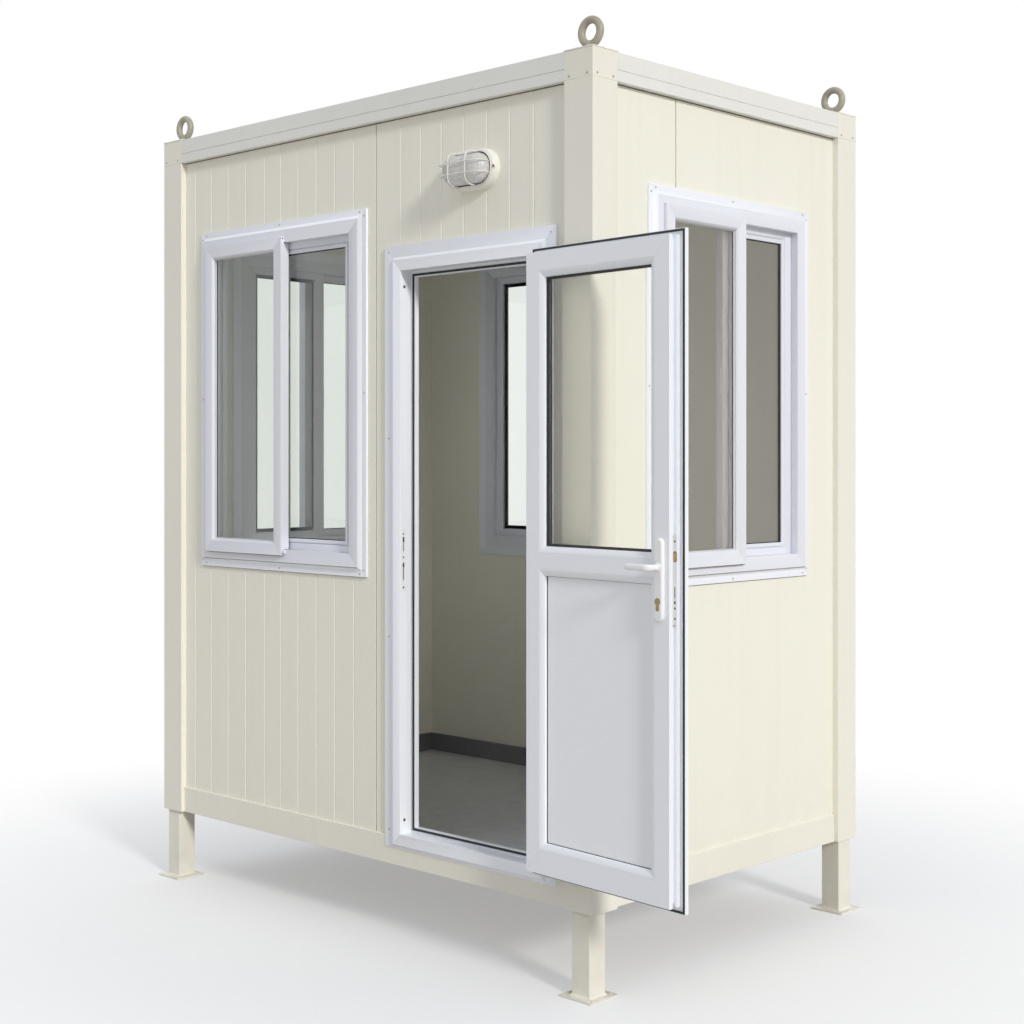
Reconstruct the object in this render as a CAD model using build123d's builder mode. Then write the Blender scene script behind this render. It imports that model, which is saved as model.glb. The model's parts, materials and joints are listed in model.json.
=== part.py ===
# A guard booth: a small steel-framed cabin on four legs, with insulated wall panels,
# sliding white plastic windows on all four sides, a hinged door that folds right back
# against the front wall, a bulkhead lamp over the doorway and four lifting eyes.
#
# Millimetres. X runs along the front wall, Y from the front to the back, Z up.
# The origin is on the ground at the middle of the footprint. "Level" below means a
# height over the underside of the cabin, which stands leg_height over the ground.

from build123d import *
from math import cos, radians, sin, sqrt
import os

os.makedirs("parts", exist_ok=True)

# ---------------------------------------------------------------- driving dimensions

booth_width = 2310.0            # over the corner posts, along X
booth_depth = 1500.0            # over the corner posts, along Y
body_height = 2700.0            # from the underside of the cabin to the top of the roof rim
leg_height = 270.0              # from the ground to the underside of the cabin

post_face = 120.0               # each outer face of a folded corner post
post_sheet = 3.0                # sheet thickness of posts and corner caps
panel_recess = 24.0             # post face to panel face
panel_thickness = 50.0
joint_from_door = 106.0         # the joint between the two front panels to the door frame's hole
side_joint_from_corner = 444.0  # the joint between the two panels of a side wall
back_joint_from_corner = 955.0

base_rail_height = 100.0
base_rail_recess = 16.0         # post face to rail face
base_rail_sheet = 4.0
joist_width = 60.0
joist_pitch = 550.0
deck_thickness = 18.0
vinyl_thickness = 3.0
floor_level = 70.0
skirting_height = 78.0
skirting_thickness = 12.0
skirting_chamfer = 3.0

top_rail_height = 92.0
top_rail_lip = 60.0             # upper flange
top_rail_sheet = 3.0
flashing_height = 55.0
flashing_sheet = 2.0
flashing_top = 40.0
flashing_seam = 2.0             # open seam under the flashing
cap_plate = 4.0
cap_overhang = 2.0
ceiling_gap = 3.0
ceiling_thickness = 50.0
roof_sheet_thickness = 2.0
roof_rib_height = 18.0
roof_rib_foot = 46.0
roof_rib_crown = 22.0
roof_rib_pitch = 210.0

leg_tube = 75.0
leg_wall = 4.0
leg_corner = 2.0                # chamfer on the tube's edges
leg_inset_x = 58.0              # post face to leg centre, along X
leg_inset_y = 46.0              # post face to leg centre, along Y
foot_size = 133.0
foot_thickness = 6.0
foot_hole_spacing = 105.0
foot_hole = 12.0
foot_weld = 5.0                 # leg of the weld round the foot of the tube
bevel = 45.0                    # degrees, on welds, glazing beads and trims

eye_ring = 38.5                 # radius of the ring's centre line
eye_wire = 12.5                 # radius of its section
eye_sides = 6
eye_lift = 8.0                  # plate to the lowest point of the ring
eye_collar = 26.0               # centre to corner of the collar
eye_collar_sides = 8
eye_collar_taper = 20.0         # degrees
eye_inset = 60.0                # post face to eye centre

door_from_corner = 257.0        # edge of the clear opening to the corner of the booth
door_width = 633.0              # clear opening at the face of the frame
door_bottom = 114.0             # level of the opening's sill
door_height = 1959.0
frame_face = 38.0               # visible width of the door frame
frame_proud = 20.0              # panel face to frame face, on doors and windows alike
rebate_depth = 52.0             # frame face to door stop
stop_width = 20.0
frame_gap = 3.0                 # packing gap round a frame in its wall
door_flange = 42.0              # flat of the outer door trim
door_trim_thickness = 10.0
door_sill_flange = 5.0
inner_trim_width = 40.0
inner_trim_thickness = 8.0

leaf_side_gap = 9.0
leaf_end_gap = 6.5
leaf_overlap = 20.0             # flange of the leaf beyond its body
leaf_flange_thickness = 14.0
leaf_body_depth = 46.0
leaf_seal_gap = 7.0             # flange to frame face when the door is shut
leaf_seal_width = 6.0
leaf_seal_proud = 1.8
leaf_seal_margin = 8.0          # leaf body to seal
frame_seal_width = 8.0
frame_seal_proud = 4.0
frame_seal_margin = 6.0         # edge of the stop to seal
leaf_stile = 80.0
leaf_top_rail = 80.0
leaf_bottom_rail = 98.0
mid_rail_level = 1053.0
mid_rail_height = 93.0
bead = 7.0                      # bevel of the glazing beads
pane_grip = 10.0                # how far a pane reaches into its groove
door_glass_thickness = 20.0
door_panel_thickness = 24.0
door_open_angle = 175.4         # how far the door stands open

hinge_stand = 15.0              # front of the corner posts to the hinge axis
hinge_side = 20.0               # edge of the opening to the hinge axis
knuckle_radius = 7.5
knuckle_length = 30.0
knuckle_gap = 1.0
hinge_pin = 4.0                 # radius
hinge_fit = 0.3
hinge_plate = 3.0
hinge_plate_width = 26.0
hinge_arm = 10.0
hinge_from_end = 190.0
hinge_middle = 48.0

handle_from_edge = 36.0
handle_level = 1105.0
handle_plate_length = 242.0
handle_plate_width = 30.0
handle_plate_thickness = 8.0
handle_plate_drop = 37.0        # spindle above the middle of its plate
spindle = 8.0                   # across its flats
spindle_fit = 0.5
lever_neck = 9.0                # radius
lever_reach = 44.0              # plate to the lever's centre line
lever_length = 118.0
lever_height = 20.0
lever_thickness = 13.0
keyhole_drop = 100.0            # spindle to lock cylinder
cylinder_radius = 8.5
cylinder_tail = 10.0
cylinder_length = 33.0
cylinder_proud = 3.0
lock_plate_length = 260.0
lock_plate_width = 16.0
lock_plate_thickness = 3.0
latch_rise = 30.0               # spindle to latch bolt
latch_height = 26.0
latch_width = 12.0
latch_throw = 3.5
latch_flat = 4.0                # the part of its nose that doesn't slope
keep_length = 216.0
keep_width = 20.0
keep_thickness = 3.0
keep_pocket = 12.0              # behind its slots
keep_slot_width = 12.0
keep_latch_slot = 46.0
keep_bolt_slot = 56.0
keep_bolt_drop = 80.0           # handle to the middle of the bolt's slot
keep_screw = 4.5
keep_screw_from_end = 10.0

window_bottom = 997.0           # level of the lower edge of a window's outer trim
window_height = 1315.0
front_window_width = 991.0
front_window_place = 0.716      # share of the spare wall beside the window that is on its left
side_window_width = 910.0
side_window_y = 0.0
back_window_width = 910.0
back_window_x = -300.0
window_flange = 22.0
window_trim_thickness = 8.0
window_face = 48.0              # visible width of a window frame
sash_overlap = 21.0             # outer sash over the face of its frame
sash_proud = 14.0
sash_face = 50.0
outer_sash_back = -4.0          # depths from the panel face, outwards positive
inner_sash_front = -10.0
inner_sash_depth = 28.0
sash_pocket = 12.0
sash_slack = 2.0
sash_past_middle = 41.0
window_glass_thickness = 6.0
grip_length = 92.0
grip_level = 1684.0             # middle of the pull grip on the inner sash
grip_width = 20.0
grip_proud = 6.0
sash_stop_size = 14.0
sash_stop_proud = 8.0
sash_stop_gap = 1.0

lamp_x = 612.0
lamp_level = 2379.0
lamp_length = 236.0
lamp_height = 134.0
lamp_base_depth = 30.0
lamp_base_chamfer = 10.0
lamp_lens_length = 206.0
lamp_lens_height = 104.0
lamp_lens_depth = 52.0
lamp_lens_chamfer = 34.0
guard_wire = 2.5                # radius
guard_stand = 4.0               # lens to the wires
guard_arch_place = 40.0         # middle of the lamp to its arched wires
guard_bend = 28.0               # leg of the sloping run at a wire's bends
oval_facets = 8                 # flats round each end of the lamp's ovals
lamp_lug_length = 24.0
lamp_lug_width = 14.0
lamp_lug_thickness = 4.0
lamp_lug_inset = 6.0            # end of the base to the middle of the lug

# ------------------------------------------------------------------- worked-out places

half_width = booth_width / 2
half_depth = booth_depth / 2
wall_inner = panel_recess + panel_thickness     # post face to the room
base_rail_flange = wall_inner - base_rail_recess
window_body = panel_thickness + inner_trim_thickness   # window frame behind the panel face
door_right = half_width - door_from_corner
door_left = door_right - door_width
front_joint = door_left - frame_face - frame_gap - joint_from_door
wall_top = body_height - top_rail_height
corners = {
    "front_right": (1, -1),
    "front_left": (-1, -1),
    "back_right": (1, 1),
    "back_left": (-1, 1),
}

# One drawing plane for each wall, on the outer face of its panels: x to the right as
# seen from outside, y up from the underside of the cabin, and z outwards.
front_face = Plane(
    origin=(0, -half_depth + panel_recess, leg_height), x_dir=(1, 0, 0), z_dir=(0, -1, 0)
)
back_face = Plane(
    origin=(0, half_depth - panel_recess, leg_height), x_dir=(-1, 0, 0), z_dir=(0, 1, 0)
)
right_face = Plane(
    origin=(half_width - panel_recess, 0, leg_height), x_dir=(0, 1, 0), z_dir=(1, 0, 0)
)
left_face = Plane(
    origin=(-half_width + panel_recess, 0, leg_height), x_dir=(0, -1, 0), z_dir=(-1, 0, 0)
)


def level(height):
    """A horizontal drawing plane at a height over the underside of the cabin."""
    return Plane.XY.offset(leg_height + height)


def span(x0, x1, y0, y1, mode=Mode.ADD):
    """A rectangle in the current sketch, given by its four edges."""
    with Locations(((x0 + x1) / 2, (y0 + y1) / 2)):
        Rectangle(x1 - x0, y1 - y0, mode=mode)


def shrink(edges, margin):
    """Four edges (x0, x1, y0, y1) moved in by a margin."""
    x0, x1, y0, y1 = edges
    return (x0 + margin, x1 - margin, y0 + margin, y1 - margin)


# ------------------------------------------------------------------------ steel frame


def corner_points(points, side_x, side_y):
    """Plan points given inwards from a corner of the cabin, in booth coordinates."""
    return [(side_x * (half_width - a), side_y * (half_depth - b)) for a, b in points]


# A post is one folded sheet: two outer faces, each turned in at its edge to meet the
# wall panels.
post_outline = [
    (post_face, panel_recess),
    (post_face, 0),
    (0, 0),
    (0, post_face),
    (panel_recess, post_face),
    (panel_recess, post_face - post_sheet),
    (post_sheet, post_face - post_sheet),
    (post_sheet, post_sheet),
    (post_face - post_sheet, post_sheet),
    (post_face - post_sheet, panel_recess),
]
post_foot_outline = [
    (post_sheet, post_sheet),
    (post_face - post_sheet, post_sheet),
    (post_face - post_sheet, post_face - post_sheet),
    (post_sheet, post_face - post_sheet),
]

with BuildPart() as corner_posts:
    for side_x, side_y in corners.values():
        with BuildSketch(level(0)):
            with BuildLine():
                Polyline(*corner_points(post_outline, side_x, side_y), close=True)
            make_face()
        extrude(amount=wall_top)
corner_posts.part.label = "corner_posts"
export_step(corner_posts.part, "parts/corner_posts.step")

# A plate closes the foot of each post, and the leg is welded under it.
with BuildPart() as post_feet:
    for side_x, side_y in corners.values():
        with BuildSketch(level(0)):
            with BuildLine():
                Polyline(*corner_points(post_foot_outline, side_x, side_y), close=True)
            make_face()
        extrude(amount=base_rail_sheet)
post_feet.part.label = "post_feet"
export_step(post_feet.part, "parts/post_feet.step")

# A cap closes each upper corner, over the ends of the roof rails.
cap_outline = [
    (post_face, 0),
    (0, 0),
    (0, post_face),
    (post_sheet, post_face),
    (post_sheet, post_sheet),
    (post_face, post_sheet),
]
cap_plate_outline = [
    (-cap_overhang, -cap_overhang),
    (post_face, -cap_overhang),
    (post_face, post_face),
    (-cap_overhang, post_face),
]

with BuildPart() as corner_caps:
    for side_x, side_y in corners.values():
        with BuildSketch(level(wall_top)):
            with BuildLine():
                Polyline(*corner_points(cap_outline, side_x, side_y), close=True)
            make_face()
        extrude(amount=top_rail_height)
        with BuildSketch(level(body_height)):
            with BuildLine():
                Polyline(*corner_points(cap_plate_outline, side_x, side_y), close=True)
            make_face()
        extrude(amount=cap_plate)
corner_caps.part.label = "corner_caps"
export_step(corner_caps.part, "parts/corner_caps.step")

# The roof rails and base rails are folded channels. Their sections are drawn with x as
# the depth behind the post face and y as the level, and run between the posts.
rail_runs = [
    (Plane(origin=(half_width - post_face, -half_depth, leg_height), x_dir=(0, 1, 0), z_dir=(1, 0, 0)),
     booth_width - 2 * post_face),
    (Plane(origin=(-half_width + post_face, half_depth, leg_height), x_dir=(0, -1, 0), z_dir=(-1, 0, 0)),
     booth_width - 2 * post_face),
    (Plane(origin=(half_width, half_depth - post_face, leg_height), x_dir=(-1, 0, 0), z_dir=(0, 1, 0)),
     booth_depth - 2 * post_face),
    (Plane(origin=(-half_width, -half_depth + post_face, leg_height), x_dir=(1, 0, 0), z_dir=(0, -1, 0)),
     booth_depth - 2 * post_face),
]

seam_level = body_height - flashing_height
top_rail_outline = [
    (0, wall_top),
    (0, seam_level - flashing_seam),
    (flashing_sheet, seam_level - flashing_seam),
    (flashing_sheet, body_height - flashing_sheet),
    (top_rail_lip, body_height - flashing_sheet),
    (top_rail_lip, body_height - flashing_sheet - top_rail_sheet),
    (flashing_sheet + top_rail_sheet, body_height - flashing_sheet - top_rail_sheet),
    (flashing_sheet + top_rail_sheet, seam_level - flashing_seam - top_rail_sheet),
    (top_rail_sheet, seam_level - flashing_seam - top_rail_sheet),
    (top_rail_sheet, wall_top + top_rail_sheet),
    (wall_inner, wall_top + top_rail_sheet),
    (wall_inner, wall_top),
]

with BuildPart() as top_rails:
    for run, length in rail_runs:
        with BuildSketch(run):
            with BuildLine():
                Polyline(*top_rail_outline, close=True)
            make_face()
        extrude(amount=-length)
top_rails.part.label = "top_rails"
export_step(top_rails.part, "parts/top_rails.step")

flashing_outline = [
    (0, seam_level),
    (0, body_height),
    (flashing_top, body_height),
    (flashing_top, body_height - flashing_sheet),
    (flashing_sheet, body_height - flashing_sheet),
    (flashing_sheet, seam_level),
]

with BuildPart() as roof_flashing:
    for run, length in rail_runs:
        with BuildSketch(run):
            with BuildLine():
                Polyline(*flashing_outline, close=True)
            make_face()
        extrude(amount=-length)
roof_flashing.part.label = "roof_flashing"
export_step(roof_flashing.part, "parts/roof_flashing.step")

base_rail_outline = [
    (base_rail_recess, 0),
    (base_rail_recess, base_rail_height),
    (base_rail_recess + base_rail_flange, base_rail_height),
    (base_rail_recess + base_rail_flange, base_rail_height - base_rail_sheet),
    (base_rail_recess + base_rail_sheet, base_rail_height - base_rail_sheet),
    (base_rail_recess + base_rail_sheet, base_rail_sheet),
    (base_rail_recess + base_rail_flange, base_rail_sheet),
    (base_rail_recess + base_rail_flange, 0),
]
door_top = door_bottom + door_height
frame_edges = shrink((door_left, door_right, door_bottom, door_top), -frame_face)

with BuildPart() as base_rails:
    for run, length in rail_runs:
        with BuildSketch(run):
            with BuildLine():
                Polyline(*base_rail_outline, close=True)
            make_face()
        extrude(amount=-length)
    # The front rail is cut down to carry the sill of the door frame.
    with BuildSketch(front_face.offset(panel_recess)):
        span(
            frame_edges[0] - frame_gap,
            frame_edges[1] + frame_gap,
            frame_edges[2],
            base_rail_height,
        )
    extrude(amount=-(base_rail_recess + base_rail_flange), mode=Mode.SUBTRACT)
base_rails.part.label = "base_rails"
export_step(base_rails.part, "parts/base_rails.step")

# ---------------------------------------------------------------------- legs and eyes

with BuildPart() as legs:
    leg_places = [
        (side_x * (half_width - leg_inset_x), side_y * (half_depth - leg_inset_y))
        for side_x, side_y in corners.values()
    ]
    with BuildSketch(Plane.XY):
        with Locations(*leg_places):
            Rectangle(foot_size, foot_size)
            with GridLocations(foot_hole_spacing, foot_hole_spacing, 2, 2):
                Circle(foot_hole / 2, mode=Mode.SUBTRACT)
    extrude(amount=foot_thickness)
    # The weld round the foot of each tube is a small pyramid skirt.
    with BuildSketch(Plane.XY.offset(foot_thickness)):
        with Locations(*leg_places):
            Rectangle(leg_tube + 2 * foot_weld, leg_tube + 2 * foot_weld)
    extrude(amount=foot_weld, taper=bevel)
    with BuildSketch(Plane.XY.offset(foot_thickness)) as tube_outline:
        with Locations(*leg_places):
            Rectangle(leg_tube, leg_tube)
        chamfer(tube_outline.vertices(), leg_corner)
    extrude(amount=leg_height - foot_thickness)
    with BuildSketch(Plane.XY.offset(foot_thickness)):
        with Locations(*leg_places):
            Rectangle(leg_tube - 2 * leg_wall, leg_tube - 2 * leg_wall)
    extrude(amount=leg_height - foot_thickness, mode=Mode.SUBTRACT)
legs.part.label = "legs"
export_step(legs.part, "parts/legs.step")

eye_centre = body_height + cap_plate + eye_lift + eye_wire + eye_ring

with BuildPart() as lifting_eyes:
    eye_places = [
        (side_x * (half_width - eye_inset), side_y * (half_depth - eye_inset))
        for side_x, side_y in corners.values()
    ]
    with BuildSketch(level(body_height + cap_plate)):
        with Locations(*eye_places):
            RegularPolygon(eye_collar, eye_collar_sides)
    extrude(amount=eye_lift + eye_wire / 2, taper=eye_collar_taper)
    for x, y in eye_places:
        with BuildSketch(Plane(origin=(x, y, leg_height + eye_centre))):
            with Locations((eye_ring, 0)):
                RegularPolygon(eye_wire, eye_sides, rotation=180 / eye_sides)
        revolve(axis=Axis((x, y, leg_height + eye_centre), (0, 1, 0)))
lifting_eyes.part.label = "lifting_eyes"
export_step(lifting_eyes.part, "parts/lifting_eyes.step")

# ------------------------------------------------------------------------------ floor

deck_bottom = floor_level - vinyl_thickness - deck_thickness
room_x = half_width - wall_inner
room_y = half_depth - wall_inner

with BuildPart() as floor_joists:
    joist_height = deck_bottom - base_rail_sheet
    joist_reach = booth_depth - 2 * (base_rail_recess + base_rail_sheet)
    with BuildSketch(level(base_rail_sheet)):
        with GridLocations(joist_pitch, 1, 3, 1):
            Rectangle(joist_width, joist_reach)
    extrude(amount=joist_height)
    # Each joist is a channel, open underneath.
    with BuildSketch(level(base_rail_sheet)):
        with GridLocations(joist_pitch, 1, 3, 1):
            Rectangle(joist_width - 2 * base_rail_sheet, joist_reach)
    extrude(amount=joist_height - base_rail_sheet, mode=Mode.SUBTRACT)
floor_joists.part.label = "floor_joists"
export_step(floor_joists.part, "parts/floor_joists.step")

with BuildPart() as floor_deck:
    with BuildSketch(level(deck_bottom)):
        Rectangle(2 * room_x, 2 * room_y)
    extrude(amount=deck_thickness)
floor_deck.part.label = "floor_deck"
export_step(floor_deck.part, "parts/floor_deck.step")

with BuildPart() as floor_covering:
    with BuildSketch(level(floor_level - vinyl_thickness)):
        Rectangle(2 * room_x, 2 * room_y)
    extrude(amount=vinyl_thickness)
floor_covering.part.label = "floor_covering"
export_step(floor_covering.part, "parts/floor_covering.step")

with BuildPart() as skirting:
    with BuildSketch(level(floor_level)):
        Rectangle(2 * room_x, 2 * room_y)
        Rectangle(
            2 * (room_x - skirting_thickness),
            2 * (room_y - skirting_thickness),
            mode=Mode.SUBTRACT,
        )
        # It stops each side of the door's inner trim.
        span(
            frame_edges[0] - inner_trim_width,
            frame_edges[1] + inner_trim_width,
            -room_y,
            -room_y + skirting_thickness,
            mode=Mode.SUBTRACT,
        )
    extrude(amount=skirting_height)
    top_edges = skirting.edges().group_by(Axis.Z)[-1]
    inner_top = top_edges.filter_by(
        lambda edge: abs(edge.center().X) < room_x - 1 and abs(edge.center().Y) < room_y - 1
    )
    chamfer(inner_top.filter_by(lambda edge: edge.length > 2 * skirting_thickness), skirting_chamfer)
skirting.part.label = "skirting"
export_step(skirting.part, "parts/skirting.step")

# ------------------------------------------------------------------------------- roof

roof_inset = top_rail_sheet + flashing_sheet + ceiling_gap
roof_width = booth_width - 2 * roof_inset
roof_depth = booth_depth - 2 * roof_inset

with BuildPart() as ceiling_panel:
    with BuildSketch(level(wall_top + top_rail_sheet)):
        Rectangle(roof_width, roof_depth)
    extrude(amount=ceiling_thickness)
ceiling_panel.part.label = "ceiling_panel"
export_step(ceiling_panel.part, "parts/ceiling_panel.step")

roof_bottom = wall_top + top_rail_sheet + ceiling_thickness

with BuildPart() as roof_sheet:
    with BuildSketch(Plane(origin=(0, -roof_depth / 2, leg_height), x_dir=(1, 0, 0), z_dir=(0, -1, 0))):
        span(-roof_width / 2, roof_width / 2, roof_bottom, roof_bottom + roof_sheet_thickness)
        rib_count = int(roof_width // roof_rib_pitch)
        rib_rise = roof_bottom + roof_sheet_thickness + roof_rib_height / 2
        with Locations((0, rib_rise)):
            with GridLocations(roof_rib_pitch, 1, rib_count, 1):
                Polygon(
                    (-roof_rib_foot / 2, -roof_rib_height / 2),
                    (roof_rib_foot / 2, -roof_rib_height / 2),
                    (roof_rib_crown / 2, roof_rib_height / 2),
                    (-roof_rib_crown / 2, roof_rib_height / 2),
                )
    extrude(amount=-roof_depth)
roof_sheet.part.label = "roof_sheet"
export_step(roof_sheet.part, "parts/roof_sheet.step")

# ------------------------------------------------------------------------------ walls

window_bevel = frame_proud - window_trim_thickness
window_trim_width = window_flange + window_bevel


def window_edges(centre, width):
    """Outer edges (x0, x1, y0, y1) of a window's trim on its wall."""
    return (centre - width / 2, centre + width / 2, window_bottom, window_bottom + window_height)


front_spare = front_joint + half_width - post_face - front_window_width
front_window_x = (
    -half_width + post_face + front_spare * front_window_place + front_window_width / 2
)

# Each window: its wall's plane and the edges of its outer trim there. The planes of the
# back and left walls run the other way, so their places change sign.
windows = {
    "front": (front_face, window_edges(front_window_x, front_window_width)),
    "right": (right_face, window_edges(side_window_y, side_window_width)),
    "back": (back_face, window_edges(-back_window_x, back_window_width)),
    "left": (left_face, window_edges(-side_window_y, side_window_width)),
}


def window_hole(side):
    """Edges of the hole that a window needs in its wall."""
    return shrink(windows[side][1], window_trim_width - frame_gap)


wall_end = half_width - panel_recess
door_hole = shrink(frame_edges, -frame_gap)

with BuildPart() as front_wall_window:
    with BuildSketch(front_face):
        span(-wall_end, front_joint, base_rail_height, wall_top)
        span(*window_hole("front"), mode=Mode.SUBTRACT)
    extrude(amount=-panel_thickness)
front_wall_window.part.label = "front_wall_window"
export_step(front_wall_window.part, "parts/front_wall_window.step")

with BuildPart() as front_wall_beside_door:
    with BuildSketch(front_face):
        span(front_joint, door_hole[0], base_rail_height, wall_top)
    extrude(amount=-panel_thickness)
front_wall_beside_door.part.label = "front_wall_beside_door"
export_step(front_wall_beside_door.part, "parts/front_wall_beside_door.step")

with BuildPart() as front_wall_over_door:
    with BuildSketch(front_face):
        span(door_hole[0], door_hole[1], door_hole[3], wall_top)
    extrude(amount=-panel_thickness)
front_wall_over_door.part.label = "front_wall_over_door"
export_step(front_wall_over_door.part, "parts/front_wall_over_door.step")

with BuildPart() as front_wall_corner:
    with BuildSketch(front_face):
        span(door_hole[1], wall_end, base_rail_height, wall_top)
    extrude(amount=-panel_thickness)
front_wall_corner.part.label = "front_wall_corner"
export_step(front_wall_corner.part, "parts/front_wall_corner.step")

# A side wall stands between the front and back walls, in two panels. The joint is
# nearer the front, which is on the left of the right wall and the right of the left one.
side_joint = half_depth - side_joint_from_corner
side_walls = {
    "right_wall_front": ("right", -room_y, -side_joint),
    "right_wall_back": ("right", -side_joint, room_y),
    "left_wall_front": ("left", side_joint, room_y),
    "left_wall_back": ("left", -room_y, side_joint),
}

for wall_name, (side, start, end) in side_walls.items():
    with BuildPart() as side_wall:
        with BuildSketch(windows[side][0]):
            span(start, end, base_rail_height, wall_top)
            span(*window_hole(side), mode=Mode.SUBTRACT)
        extrude(amount=-panel_thickness)
    side_wall.part.label = wall_name
    export_step(side_wall.part, f"parts/{wall_name}.step")

back_joint = back_joint_from_corner - half_width
back_walls = {
    "back_wall_right": (-wall_end, back_joint),
    "back_wall_left": (back_joint, wall_end),
}

for wall_name, (start, end) in back_walls.items():
    with BuildPart() as back_wall:
        with BuildSketch(back_face):
            span(start, end, base_rail_height, wall_top)
            span(*window_hole("back"), mode=Mode.SUBTRACT)
        extrude(amount=-panel_thickness)
    back_wall.part.label = wall_name
    export_step(back_wall.part, f"parts/{wall_name}.step")

# ---------------------------------------------------------------------------- windows

with BuildPart() as window_trims:
    for face, edges in windows.values():
        with BuildSketch(face):
            span(*edges)
        extrude(amount=window_trim_thickness)
        # A bevel rises from the flat flange to the face of the frame.
        with BuildSketch(face.offset(window_trim_thickness)):
            span(*shrink(edges, window_flange))
        extrude(amount=window_bevel, taper=bevel)
        with BuildSketch(face):
            span(*shrink(edges, window_trim_width))
        extrude(amount=frame_proud, mode=Mode.SUBTRACT)
window_trims.part.label = "window_trims"
export_step(window_trims.part, "parts/window_trims.step")

with BuildPart() as window_inner_trims:
    for face, edges in windows.values():
        with BuildSketch(face.offset(-panel_thickness)):
            span(*shrink(edges, window_trim_width - inner_trim_width))
            span(*shrink(edges, window_trim_width), mode=Mode.SUBTRACT)
        extrude(amount=-inner_trim_thickness)
window_inner_trims.part.label = "window_inner_trims"
export_step(window_inner_trims.part, "parts/window_inner_trims.step")

outer_face_depth = frame_proud + sash_proud
inner_sash_back = inner_sash_front - inner_sash_depth

for side, (face, edges) in windows.items():
    opening = shrink(edges, window_trim_width + window_face)
    middle = (edges[0] + edges[1]) / 2

    # The frame: a deep ring, with a pocket behind its face for the inner sash.
    with BuildPart() as window_frame:
        with BuildSketch(face.offset(frame_proud)):
            span(*shrink(edges, window_trim_width))
            span(*opening, mode=Mode.SUBTRACT)
        extrude(amount=-(frame_proud + window_body))
        with BuildSketch(face.offset(inner_sash_front + sash_slack)):
            span(*shrink(opening, -sash_pocket))
        extrude(amount=-(inner_sash_depth + 2 * sash_slack), mode=Mode.SUBTRACT)
    window_frame.part.label = f"window_frame_{side}"
    export_step(window_frame.part, f"parts/window_frame_{side}.step")

    # The outer sash, on the left, laps over the face of the frame. The inner sash, on
    # the right, runs in the pocket. Their stiles lie behind one another in the middle.
    outer_lap = shrink(edges, window_trim_width + window_face - sash_overlap)
    outer_lap = (outer_lap[0], middle + sash_past_middle, outer_lap[2], outer_lap[3])
    outer_body = shrink(opening, sash_slack)
    outer_body = (outer_body[0], middle + sash_past_middle, outer_body[2], outer_body[3])
    outer_glass = shrink(outer_lap, sash_face)
    inner_body = shrink(opening, -sash_pocket)
    inner_body = (
        middle - sash_past_middle + sash_slack,
        inner_body[1] - sash_slack,
        inner_body[2],
        inner_body[3] - sash_slack,
    )
    inner_glass = shrink(inner_body, sash_face + sash_slack)
    inner_glass = (inner_glass[0], inner_glass[1], outer_glass[2], outer_glass[3])
    outer_pane_depth = (outer_face_depth + outer_sash_back + window_glass_thickness) / 2
    inner_pane_depth = (inner_sash_front + inner_sash_back + window_glass_thickness) / 2

    with BuildPart() as window_sashes:
        with BuildSketch(face.offset(frame_proud)):
            span(*outer_lap)
        extrude(amount=sash_proud)
        with BuildSketch(face.offset(outer_sash_back)):
            span(*outer_body)
        extrude(amount=frame_proud - outer_sash_back)
        with BuildSketch(face.offset(outer_sash_back)):
            span(*outer_glass)
        extrude(amount=outer_face_depth - outer_sash_back, mode=Mode.SUBTRACT)
        # A bevelled bead runs round the glass, outside.
        with BuildSketch(face.offset(outer_face_depth)):
            span(*shrink(outer_glass, -bead))
        extrude(amount=-bead, taper=bevel, mode=Mode.SUBTRACT)
        with BuildSketch(face.offset(outer_pane_depth)):
            span(*shrink(outer_glass, -pane_grip))
        extrude(amount=-window_glass_thickness, mode=Mode.SUBTRACT)

        with BuildSketch(face.offset(inner_sash_front)):
            span(*inner_body)
            span(*inner_glass, mode=Mode.SUBTRACT)
        extrude(amount=-inner_sash_depth)
        with BuildSketch(face.offset(inner_sash_front)):
            span(*shrink(inner_glass, -bead))
        extrude(amount=-bead, taper=bevel, mode=Mode.SUBTRACT)
        with BuildSketch(face.offset(inner_pane_depth)):
            span(*shrink(inner_glass, -pane_grip))
        extrude(amount=-window_glass_thickness, mode=Mode.SUBTRACT)
    window_sashes.part.label = f"window_sashes_{side}"
    export_step(window_sashes.part, f"parts/window_sashes_{side}.step")

    with BuildPart() as window_glass:
        with BuildSketch(face.offset(outer_pane_depth)):
            span(*shrink(outer_glass, -pane_grip))
        extrude(amount=-window_glass_thickness)
        with BuildSketch(face.offset(inner_pane_depth)):
            span(*shrink(inner_glass, -pane_grip))
        extrude(amount=-window_glass_thickness)
    window_glass.part.label = f"window_glass_{side}"
    export_step(window_glass.part, f"parts/window_glass_{side}.step")

# Each inner sash has a pull grip on the edge of its meeting stile, and each outer one
# stands against a small stop on the sill of the frame.
with BuildPart() as window_grips:
    for face, edges in windows.values():
        stile_edge = (edges[0] + edges[1]) / 2 - sash_past_middle + sash_slack
        grip_middle = (inner_sash_front + inner_sash_back) / 2
        with BuildSketch(face.offset(grip_middle - grip_width / 2)):
            with Locations((stile_edge - grip_proud / 2, grip_level)):
                Rectangle(grip_proud, grip_length)
        extrude(amount=grip_width)
    chamfer(window_grips.edges().filter_by(Axis.Z), grip_proud / 3)
window_grips.part.label = "window_grips"
export_step(window_grips.part, "parts/window_grips.step")

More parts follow.
